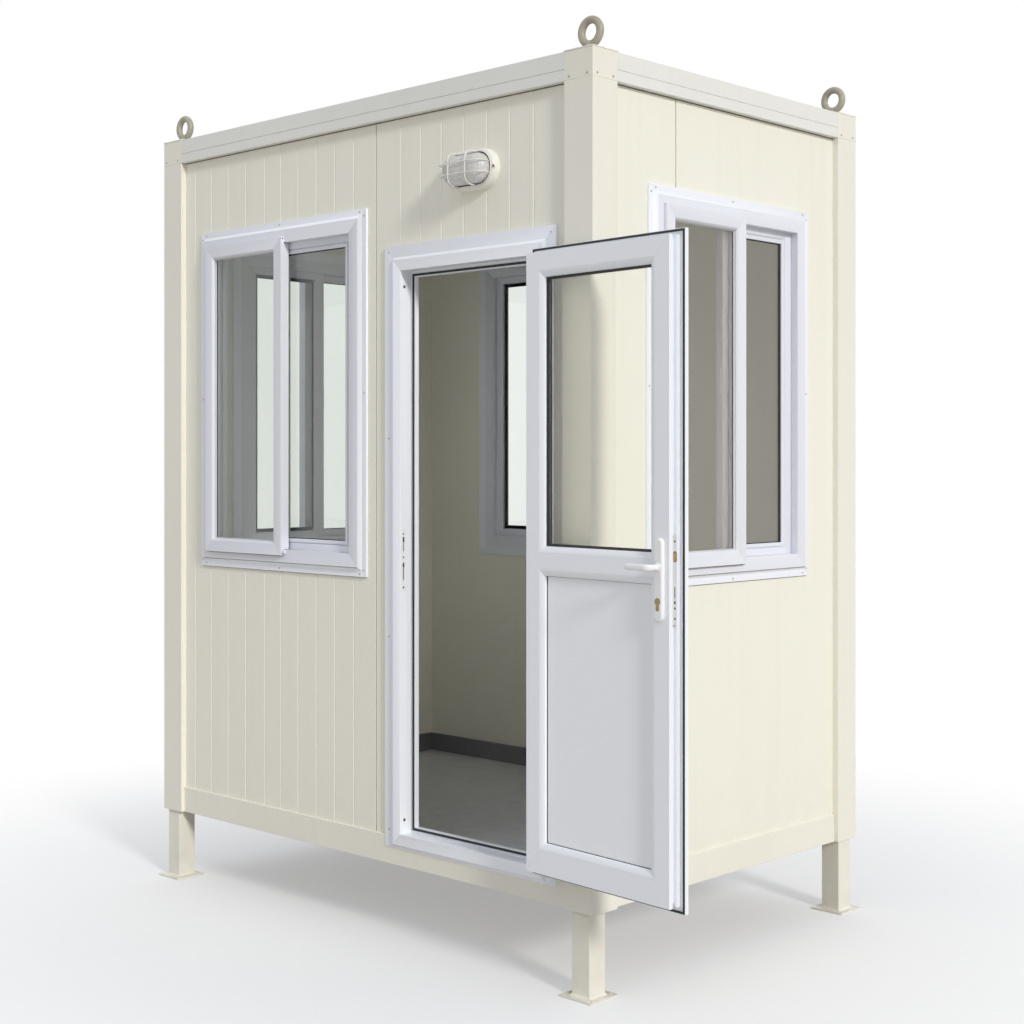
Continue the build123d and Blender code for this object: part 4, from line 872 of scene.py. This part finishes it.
# The leaf and its beads take the lighter door plastic, which is painted light.
make_piece("leaf_bars", bm, "door_upvc_painted_light", "door", ["door_leaf"], roll=1.3 * MM,
           segments=3)

bm = bmesh.new()
for opening in (opening_glass, opening_panel):
    add_bars(bm, LEAF, shrink(opening, -20 * MM), in_mm(BEAD))
make_piece("leaf_beads", bm, "door_upvc_painted_light", "door", roll=0.3 * MM)
print("openings", [[round(v, 3) for v in o] for o in (opening_glass, opening_panel)])

# %% Black gaskets and bulb seals
bm = bmesh.new()
add_gasket(bm, LEAF, opening_glass, 38, 1, 8, 7)
add_gasket(bm, LEAF, opening_glass, 18, -1, 5, 6)
add_gasket(bm, LEAF, opening_panel, 40, 1, 1.5, 3)
make_piece("leaf_gaskets", bm, "black_seal", "door")


def bulb_seal(name, node, face, edges, body, width, height):
    """A round rubber bulb on a flat foot, carried round four corners."""
    foot = edges_on(node, face)[1][0]
    arc = [math.radians(a) for a in range(15, 180, 15)]
    bulb = [(0.0, 0.0), (0.0, 0.3), *((0.5 - 0.5 * math.cos(a), 0.3 + 0.7 * math.sin(a)) for a in arc),
            (1.0, 0.3), (1.0, 0.0)]
    bm = bmesh.new()
    add_ring(bm, face, edges, [(u * width, foot + rise * height) for u, rise in bulb])
    make_piece(name, bm, "black_seal", body, [node])


bulb_seal("leaf_bulb_seal", "leaf_seal", LEAF, shrink(leaf_edges, 2 * MM), "door", 6.5 * MM, 4 * MM)
frame_edges = shrink(edges_on("frame_seal", front)[0], 3 * MM)
bulb_seal("frame_bulb_seal", "frame_seal", front, frame_edges, "cabin", 8 * MM, 5 * MM)
print("seals", [round(v, 4) for v in frame_edges])

# %% [markdown]
# ## Screws
# Small screws hold the trims, the corner caps and the frame. They are tiny, but the eye looks
# for them, because they say how the booth is put together. A screw is a low domed head with a
# cross sunk into it. The cross has twelve corners and so has each ring of the head, so one
# loft makes the whole screw. Each is turned a little differently, as a driver leaves them.

# %% One screw head
screws = []
DRIVER_TURN = 37            # degrees from one screw to the next


def add_screw(bm, face, x, z, depth, radius=3.4 * MM, height=1.3 * MM):
    screws.append((x, z))
    turn = math.radians(len(screws) * DRIVER_TURN % 90)
    head = face @ Matrix.Translation((x, z, depth)) @ Matrix.Rotation(turn, 4, "Z")
    arm, half = radius * 0.62, radius * 0.17
    cross, tip = [], [(arm, -half), (arm, half), (half, half)]
    for _ in range(4):
        cross, tip = cross + tip, [(-b, a) for a, b in tip]
    rings = [round_ring(head, 0, 0, 2 * radius * size, 2 * radius * size, rise * height, 12, first=-0.5)
             for size, rise in ((1.0, -0.2), (1.0, 0.2), (0.9, 0.7), (0.74, 1.0))]
    rings += [[head @ Vector((a, b, rise)) for a, b in cross] for rise in (height, 0.15 * height)]
    loft(bm, rings)


print("a screw turns", DRIVER_TURN, "degrees on from the last")

# %% Screws in the trims, the corner caps and the jamb
bm = bmesh.new()
for side, face in WALLS.items():
    trim = shrink(edges_on("window_frame_" + side, face)[0], -34 * MM)
    x0, x1, z0, z1 = shrink(trim, 11 * MM)
    middle_x, middle_z = middle_of(trim)
    spots = [(x, z) for z in (z0 + 15 * MM, z1 - 15 * MM, middle_z) for x in (x0, x1)]
    spots += [(x, z) for z in (z0, z1) for x in (x0 + 23 * MM, x1 - 23 * MM)]
    for x, z in spots + [(middle_x, z0), (middle_x, z1)]:
        add_screw(bm, face, x, z, 8 * MM)
x0, x1, z0, z1 = edges_on("door_trim", front)[0]
for x in (x0 + 21 * MM, x1 - 21 * MM):
    for z in (z0 + 60 * MM, z0 + (z1 - z0) * 0.35, z0 + (z1 - z0) * 0.68, z1 - 21 * MM):
        add_screw(bm, front, x, z, 10 * MM, 3 * MM)
make_piece("trim_screws", bm, "painted_screw", "cabin")

bm = bmesh.new()
for face in WALLS.values():
    x0, x1, z0, _ = edges_on("corner_caps", face)[0]
    post_depth = edges_on("corner_posts", face)[1][1]
    for end, inwards in ((x0, 1), (x1, -1)):
        for distance in (24 * MM, 100 * MM):
            add_screw(bm, face, end + inwards * distance, z0 + 12 * MM, post_depth, 4 * MM, 1.6 * MM)
make_piece("cap_screws", bm, "painted_screw", "cabin")

JAMB_SCREWS = (0.432, 2.288)        # heights above the ground
jamb_face = facing((edges_on("lock_keep", front)[0][1], 0, 0), (0, 1, 0), (1, 0, 0))
keep_box, keep_depths = edges_on("lock_keep", jamb_face)
keep_x, _ = middle_of(keep_box)
bm = bmesh.new()
for z in JAMB_SCREWS:
    add_screw(bm, jamb_face, keep_x + 4 * MM, z, 0, 5.5 * MM, 1.6 * MM)
make_piece("jamb_screws", bm, "screw_steel", "cabin")
print("screws", len(screws))

# %% [markdown]
# ## The bulkhead lamp
# An oval lamp sits over the doorway: a moulded body with a rounded rim, a dark gasket, a
# pressed glass with fine flutes, and a wire guard. The body and gasket are lofts of ovals. The
# glass is a loft of arches, each a little wider or narrower than the last, which makes the
# flutes. The guard is one curve object with a round bevel, the natural tool for bent wire.

# %% Body and gasket
lamp_box, lamp_depths = edges_on("lamp_lens", front)
lamp_x, lamp_z = middle_of(lamp_box)
rim = lamp_depths[0]


def ovals(rows):
    """Ovals round the lamp's middle: length, height and rise over the rim, in millimetres."""
    return [round_ring(front, lamp_x, lamp_z, length * MM, height * MM, rim + rise * MM, 64)
            for length, height, rise in rows]


bm = bmesh.new()
loft(bm, ovals([(236, 134, -rim / MM), (236, 134, -11), (235, 133, -7.5), (231.5, 129.5, -3.6),
                (226, 124, -1), (219, 117, 0), (214, 112, 0), (212.5, 110.5, -1.5), (212.5, 110.5, -5)]))
lug_x = edges_on("lamp_base", front)[0][1] - 12 * MM
LUG_HALF = 5                # half the straight part of the lug
LUG = ((7, -4), (7, -0.8), (6.2, 0.2))      # radii of its ends and rises over the rim
loft(bm, [round_ring(front, lug_x, lamp_z, 2 * (LUG_HALF + radius) * MM, 2 * radius * MM,
                     rim + rise * MM, 24) for radius, rise in LUG])
make_piece("lamp_body", bm, "lamp_body", "cabin", ["lamp_base"], soft=50)

bm = bmesh.new()
loft(bm, ovals([(212, 110, -4.5), (212, 110, 1.2), (209, 107, 2.4), (204, 102, 2.2), (200, 98, -4.5)]),
     closed=True)
make_piece("lamp_gasket", bm, "black_seal", "cabin")
bm = bmesh.new()
add_screw(bm, front, lug_x + LUG_HALF * MM, lamp_z, rim + 0.1 * MM, 4.2 * MM, 1.8 * MM)
make_piece("lamp_screw", bm, "screw_steel", "cabin")
print("lamp", round(lamp_x, 3), round(lamp_z, 3))

# %% Fluted glass
GLASS_LENGTH, GLASS_HEIGHT, GLASS_RISE, END_RADIUS = 202 * MM, 100 * MM, 51 * MM, 44 * MM
FLUTES, FLUTE_STEPS, FLUTE_DEPTH = 25, 8, 0.014
ARCH_STEPS = 28
SHOULDER = 0.72             # below 1 the arch is fuller than a half circle
arches = []
for k in range(FLUTES * FLUTE_STEPS + 1):
    x = (k / (FLUTES * FLUTE_STEPS) * 2 - 1) * GLASS_LENGTH / 2 * 0.999
    past_sides = max(0.0, abs(x) - (GLASS_LENGTH - GLASS_HEIGHT) / 2)
    half = math.sqrt((GLASS_HEIGHT / 2) ** 2 - past_sides ** 2)
    past_top = max(0.0, abs(x) - (GLASS_LENGTH / 2 - END_RADIUS))
    rise = GLASS_RISE * math.sqrt(max(0.0, 1 - (past_top / END_RADIUS) ** 2))
    ripple = FLUTE_DEPTH * math.cos(2 * math.pi * k / FLUTE_STEPS)
    arch = []
    for step in range(ARCH_STEPS + 1):
        turn = math.pi * step / ARCH_STEPS
        bulge = math.sin(turn) ** SHOULDER
        arch.append(front @ Vector((
            lamp_x + x, lamp_z - half * math.cos(turn) * (1 + ripple * bulge),
            rim - 1 * MM + max(rise * bulge * (1 + ripple), 0.2 * MM * bulge))))
    arches.append(arch)
bm = bmesh.new()
loft(bm, arches)
make_piece("lamp_glass", bm, "lamp_glass", "cabin", ["lamp_lens"], soft=60)
print("flutes", FLUTES)

# %% Wire guard
WIRE = 2.1 * MM
BEND = 30 * MM
HOOP_LENGTH, HOOP_HEIGHT = 214 * MM, 112 * MM
CROSS_WIRE_AT = 40 * MM     # from the lamp's middle, to either side
wire_top = edges_on("lamp_guard", front)[1][1] - WIRE
wire_foot = rim + WIRE
curve = bpy.data.curves.new("lamp_guard_wires", "CURVE")
curve.dimensions = "3D"
curve.bevel_depth = WIRE * 0.98
curve.bevel_resolution = 3
curve.use_fill_caps = True


def add_wire(points, closed=False):
    spline = curve.splines.new("POLY")
    spline.points.add(len(points) - 1)
    for target, point in zip(spline.points, points):
        target.co = (*point, 1.0)
    spline.use_cyclic_u = closed


def bent_wire(reach, place):
    """Up from the hoop, over in a round bend, across, and down again."""
    path = [(-reach, wire_foot)]
    for middle, start in ((-reach + BEND, 180), (reach - BEND, 90)):
        arc = [math.radians(start - 9 * k) for k in range(11)]
        path += [(middle + BEND * math.cos(a), wire_top - BEND + BEND * math.sin(a)) for a in arc]
    path.append((reach, wire_foot))
    add_wire([front @ Vector(place(across, depth)) for across, depth in path])


add_wire(round_ring(front, lamp_x, lamp_z, HOOP_LENGTH, HOOP_HEIGHT, wire_foot, 64), closed=True)
for side in (-1, 1):
    at = lamp_x + side * CROSS_WIRE_AT
    bent_wire(HOOP_HEIGHT / 2, lambda across, depth: (at, lamp_z + across, depth))
    up = side * HOOP_HEIGHT / 6
    half_oval = (HOOP_LENGTH - HOOP_HEIGHT) / 2 + math.sqrt((HOOP_HEIGHT / 2) ** 2 - up ** 2)
    bent_wire(half_oval - 6 * MM, lambda across, depth: (lamp_x + across, lamp_z + up, depth))
guard = add_object("lamp_guard_wires", curve)
curve.materials.append(finishes["lamp_wire"])
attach(guard, "cabin")
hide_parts("lamp_guard")
print("guard wires", len(curve.splines))

# %% [markdown]
# ## Lifting eyes
# A crane hook goes through a forged eye on each roof corner. The eye is a ring of round bar on
# a tapered collar, left in a duller paint than the frame. A ring is a loft of circles round a
# circle. The collar is turned, and a weld bead closes its foot.

# %% Four forged eyes
RING, STOCK = 38.5 * MM, 12.5 * MM      # from the ring's middle to its bar's, and half the bar
EYE_FROM_FRONT = 26 * MM
COLLAR = ((27, 0), (27, 2), (25, 4.2), (23.5, 6), (23, 12), (20, 15), (14, 20), (11, 26))
eye_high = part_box("lifting_eyes")[1]
plate_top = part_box("corner_caps")[1][2]
eye_x = eye_high[0] - RING - STOCK * math.cos(math.radians(30))
eye_y = eye_high[1] - EYE_FROM_FRONT
eye_z = plate_top + 8 * MM + RING + STOCK
from_above = Matrix()
bm = bmesh.new()
for x, y in ((x, y) for x in (-eye_x, eye_x) for y in (-eye_y, eye_y)):
    circles = []
    for a in (2 * math.pi * k / 56 for k in range(56)):
        outwards = Vector((math.cos(a), 0, math.sin(a)))
        section = Matrix((outwards, (0, 1, 0), outwards.cross((0, 1, 0)))).transposed().to_4x4()
        bar = Matrix.Translation((x, y, eye_z)) @ section
        circles.append(round_ring(bar, RING, 0, 2 * STOCK, 2 * STOCK, 0, 20, first=0))
    loft(bm, circles, closed=True)
    loft(bm, [round_ring(from_above, x, y, 2 * radius * MM, 2 * radius * MM, plate_top + rise * MM, first=0)
              for radius, rise in COLLAR])
make_piece("forged_eyes", bm, "eye_steel", "cabin", ["lifting_eyes"], soft=50)
print("eyes at", round(eye_x, 4), round(eye_y, 4), round(eye_z, 4))

# %% [markdown]
# ## Handles, lock and keep
# A lever is a bent, flattened tube that starts round at the spindle and ends as a soft flat
# grip, so it is one loft along a path with a section that changes. The long plates have round
# ends and a rolled edge. The lock's faceplate, the latch and the key slot finish the door, and
# the levers ride on their own body so that they turn.

# %% Long plates
plate_box, _ = edges_on("handle_plates", LEAF)
lever_box, lever_depths = edges_on("door_handle", LEAF)
handle_x, plate_z = middle_of(plate_box)
_, lever_z = middle_of(lever_box)
PLATE_DEPTH = 12
# Heights, widths and rises of the plate, and radii and rises of the boss, in millimetres.
PLATE = ((242, 34, 0), (242, 34, 8), (241, 33, 9.8), (238.4, 30.4, 11.3), (234, 26, PLATE_DEPTH),
         (226, 18, PLATE_DEPTH))
BOSS = ((13.5, 11.5), (13.2, 13.4), (12, 14.6), (10, 15))

bm = bmesh.new()
for start, out in leaf_sides:
    loft(bm, [round_ring(LEAF, handle_x, plate_z, wide * MM, tall * MM, start + out * rise * MM, 40)
              for tall, wide, rise in PLATE])
    loft(bm, [round_ring(LEAF, handle_x, lever_z, 2 * radius * MM, 2 * radius * MM,
                         start + out * rise * MM, first=0) for radius, rise in BOSS])
make_piece("long_plates", bm, "white_handle", "door", ["handle_plates"], soft=50)
print("plates at", round(handle_x, 4), round(plate_z, 4))

# %% Levers
LEVER_BEND = 15
GRIP_DEPTH = 6.5            # from the lever's outer face to the middle of its grip
BEND_STEPS = 8
# Along the grip: distance from the spindle, half height and half depth, in millimetres.
GRIP = ((36, 10, 6.4), (60, 9.6, 6.2), (80, 9.4, 6.1), (87, 8.8, 5.8), (91, 7, 4.8), (93, 4.5, 3.2))


def lever_stations(start, out, line):
    """Places along a lever: middle, the way across it, half height and half depth. In millimetres,
    with x from the spindle and depths from the leaf's plane."""
    stations = [((0, start + out * rise), (1, 0), tall, deep)
                for rise, tall, deep in ((2, 8.6, 8.6), (14, 8.6, 8.6), (26, 8.8, 8.4))]
    for k in range(BEND_STEPS + 1):
        share = k / BEND_STEPS
        a = math.radians(90 * share)
        middle = (LEVER_BEND * (math.cos(a) - 1), line - out * LEVER_BEND * (1 - math.sin(a)))
        stations.append((middle, (math.cos(a), out * math.sin(a)), 8.8 + 1.2 * share, 8.4 - 1.9 * share))
    return stations + [((-along, line), (0, out), tall, deep) for along, tall, deep in GRIP]


def soft_square(angle):
    """Cosine and sine of an angle, pushed out towards the corners of a square."""
    return (math.copysign(abs(value) ** 0.8, value) for value in (math.cos(angle), math.sin(angle)))


bm = bmesh.new()
for (start, out), top in zip(leaf_sides, (lever_depths[1], lever_depths[0])):
    rings = []
    line = top / MM - out * GRIP_DEPTH
    for (x, depth), (side_x, side_out), tall, deep in lever_stations(start / MM, out, line):
        ring = []
        for across, up in (soft_square(2 * math.pi * s / 24) for s in range(24)):
            ring.append(LEAF @ Vector((handle_x + (x + side_x * across * deep) * MM, lever_z + up * tall * MM,
                                       (depth + side_out * across * deep) * MM)))
        rings.append(ring)
    loft(bm, rings)
make_piece("levers", bm, "white_handle", "door_handle", ["door_handle"], soft=50)
print("lever", [round(v, 4) for v in lever_box], [round(v, 4) for v in lever_depths])

# %% Key barrels
_, barrel_z = middle_of(edges_on("lock_cylinder", LEAF)[0])
HEAD_UP, FOOT_DOWN = 8.5, 13.5      # middles of the barrel's head and foot from its own middle


def barrel_ring(radius, half_width, start, out, rise):
    """The outline of a lock barrel: a round head with a narrower foot under it. In millimetres."""
    joint = math.degrees(math.acos(half_width / radius))
    head = [math.radians(-joint + (180 + 2 * joint) * k / 24) for k in range(25)]
    foot = [math.radians(180 + 180 * k / 8) for k in range(9)]
    ring = [(radius * math.cos(a), HEAD_UP + radius * math.sin(a)) for a in head]
    ring += [(half_width * math.cos(a), -FOOT_DOWN + half_width * math.sin(a)) for a in foot]
    depth = start + out * rise * MM
    return [LEAF @ Vector((handle_x + x * MM, barrel_z + z * MM, depth)) for x, z in ring]


FACE = PLATE_DEPTH + 1.2
# The key slots, and the dark ring round the foot of each barrel, are flat patches of painted shade.
bm, keyways = bmesh.new(), bmesh.new()
for start, out in leaf_sides:
    loft(bm, [barrel_ring(8.6 - less, 4.2 - less, start, out, rise)
              for less, rise in ((0, 0), (0, FACE - 0.5), (0.6, FACE))])
    loft(keyways, [round_ring(LEAF, handle_x, barrel_z + HEAD_UP * MM, 1.7 * MM, 9 * MM,
                              start + out * rise * MM, 40) for rise in (FACE - 0.5, FACE + 0.12)])
    loft(keyways, [barrel_ring(10.4 - less, 5.6 - less, start, out, PLATE_DEPTH + rise)
                   for less, rise in ((0, -1), (0, 0.2), (0.6, 0.4))])
make_piece("key_barrels", bm, "brass", "door", ["lock_cylinder"], soft=50)
make_piece("key_slots", keyways, "painted_hole_shade", "door", soft=50)
print("barrels at", round(barrel_z, 4))

# %% Faceplate and latch
lock_box, _ = edges_on("door_lock", LEAF)
edge_x = leaf_edges[1] - 20 * MM
turned = LEAF.to_3x3()
edge_face = facing(LEAF @ Vector((edge_x, 0, 0)), turned @ Vector((0, 0, -1)), turned @ Vector((1, 0, 0)))
LOCK_MIDDLE = -35 * MM      # the middle of the leaf's edge, from its back
PLATE_HALF = 7.8 * MM


def add_patch(bm, face, x, z0, z1, width, front):
    """A thin upright strip with round ends, let into a face."""
    loft(bm, [round_ring(face, x, (z0 + z1) / 2, width, z1 - z0, depth) for depth in (-0.4 * MM, front)])


bm = bmesh.new()
add_box(bm, edge_face, LOCK_MIDDLE - PLATE_HALF, LOCK_MIDDLE + PLATE_HALF, *lock_box[2:], -2.9 * MM, 0)
make_piece("lock_faceplate", bm, "faceplate", "door", ["door_lock"], roll=0.5 * MM)
# Holes in the faceplate, flat patches of painted shade: height from the spindle, half width and half height,
# in millimetres.
bm = bmesh.new()
for up, half_width, half_height in ((75, 3.2, 3.2), (-72, 1.6, 16), (-102, 3.4, 4.2), (-118.5, 3.2, 3.2),
                                    (-148.4, 3.2, 3.2)):
    z = lever_z + up * MM
    add_patch(bm, edge_face, LOCK_MIDDLE, z - half_height * MM, z + half_height * MM, 2 * half_width * MM,
              0.15 * MM)
add_patch(bm, edge_face, LOCK_MIDDLE, lever_z + 15 * MM, lever_z + 47 * MM, 13.4 * MM, 0.12 * MM)
make_piece("lock_holes", bm, "painted_hole_shade", "door")
nose = (lock_box[1] - edge_x) / MM
LATCH = ((-41, -1), (-41, 0.2), (-33.5, nose), (-29.4, nose), (-29, nose - 0.4), (-29, -1))
bm = bmesh.new()
loft(bm, [[edge_face @ Vector((x * MM, lever_z + up * MM, depth * MM)) for x, depth in LATCH]
          for up in (18, 43)])
make_piece("latch_bolt", bm, "brass", "door", roll=0.3 * MM)
print("lock", [round(v, 4) for v in lock_box], "nose", round(nose, 1), "mm")

# %% The keep
# The keep is a pale plate on the jamb. Screws hold it at three places, and behind each of its
# two slots a bent tongue fills the lower part. Heights are above the ground.
bm, holes, tongues = bmesh.new(), bmesh.new(), bmesh.new()
add_box(bm, jamb_face, *keep_box, *keep_depths)
make_piece("keep_plate", bm, "keep_white", "cabin", ["lock_keep"], roll=0.4 * MM)
# The keep's holes and slots are flat dark patches of painted shade.
for z0, z1, width, target in (
        (1.4239, 1.4303, 6.4, holes), (1.3980, 1.4175, 7, holes), (1.3672, 1.3978, 5, tongues),
        (1.3434, 1.3494, 6, holes), (1.3108, 1.3279, 7, holes), (1.2674, 1.3106, 5, tongues),
        (1.2380, 1.2446, 6.6, holes)):
    add_patch(target, jamb_face, keep_x, z0, z1, width * MM, keep_depths[1] + 0.15 * MM)
make_piece("keep_slots", holes, "painted_hole_shade", "cabin")
make_piece("keep_tongues", tongues, "lock_steel", "cabin")
print("keep", [round(v, 4) for v in keep_box])

# %% [markdown]
# ## Dress the plain nodes
# A node whose shape is already right keeps its mesh and only gets its finish. Folded steel and
# cut plastic never have a knife edge, though. A stack of modifiers rounds them: Weld joins the
# split corners, Decimate drops the flat triangles, and Bevel rolls each sharp edge by a
# millimetre or two, which is what catches the light on a real corner.

# %% Round the edges of the CAD nodes
FRAME_ROLL = 1              # millimetres, for every window frame and sash
# Nodes that a drawn piece stands for are rounded too, so that they look right if they are shown.
ROLLS = {
    "corner_posts": 4, "corner_caps": 1.5, "top_rails": 1.5, "base_rails": 2, "roof_flashing": 0.8,
    "legs": 1.2, "post_feet": 1, "skirting": 1.5, "window_trims": 1, "window_inner_trims": 1,
    "door_trim": 1.2, "door_inner_trim": 1, "door_frame": 1.5, "door_leaf": 2, "lock_keep": 0.4,
    "window_grips": 2, "sash_stops": 1.5, "handle_plates": 1.5, "door_handle": 3,
}
OTHER_FINISH = {"window_glass_right": "sunlit_glass_copy", "door_glass": "door_pane",
                "top_rails": "rail_paint", "roof_flashing": "rail_paint"}
for node, piece in nodes.items():
    piece.data.materials.clear()
    piece.data.materials.append(finishes[OTHER_FINISH.get(node, slots[node])])
    roll = ROLLS.get(node, FRAME_ROLL if node.startswith(("window_frame", "window_sashes")) else 0)
    if roll:
        piece.modifiers.new("weld", "WELD").merge_threshold = 0.05 * MM
        flat = piece.modifiers.new("flat", "DECIMATE")
        flat.decimate_type = "DISSOLVE"
        flat.angle_limit = math.radians(0.5)
        round_edges(piece, roll * MM, harden=False)
print("dressed", len(nodes), "rounded", sum(1 for piece in nodes.values() if piece.modifiers))
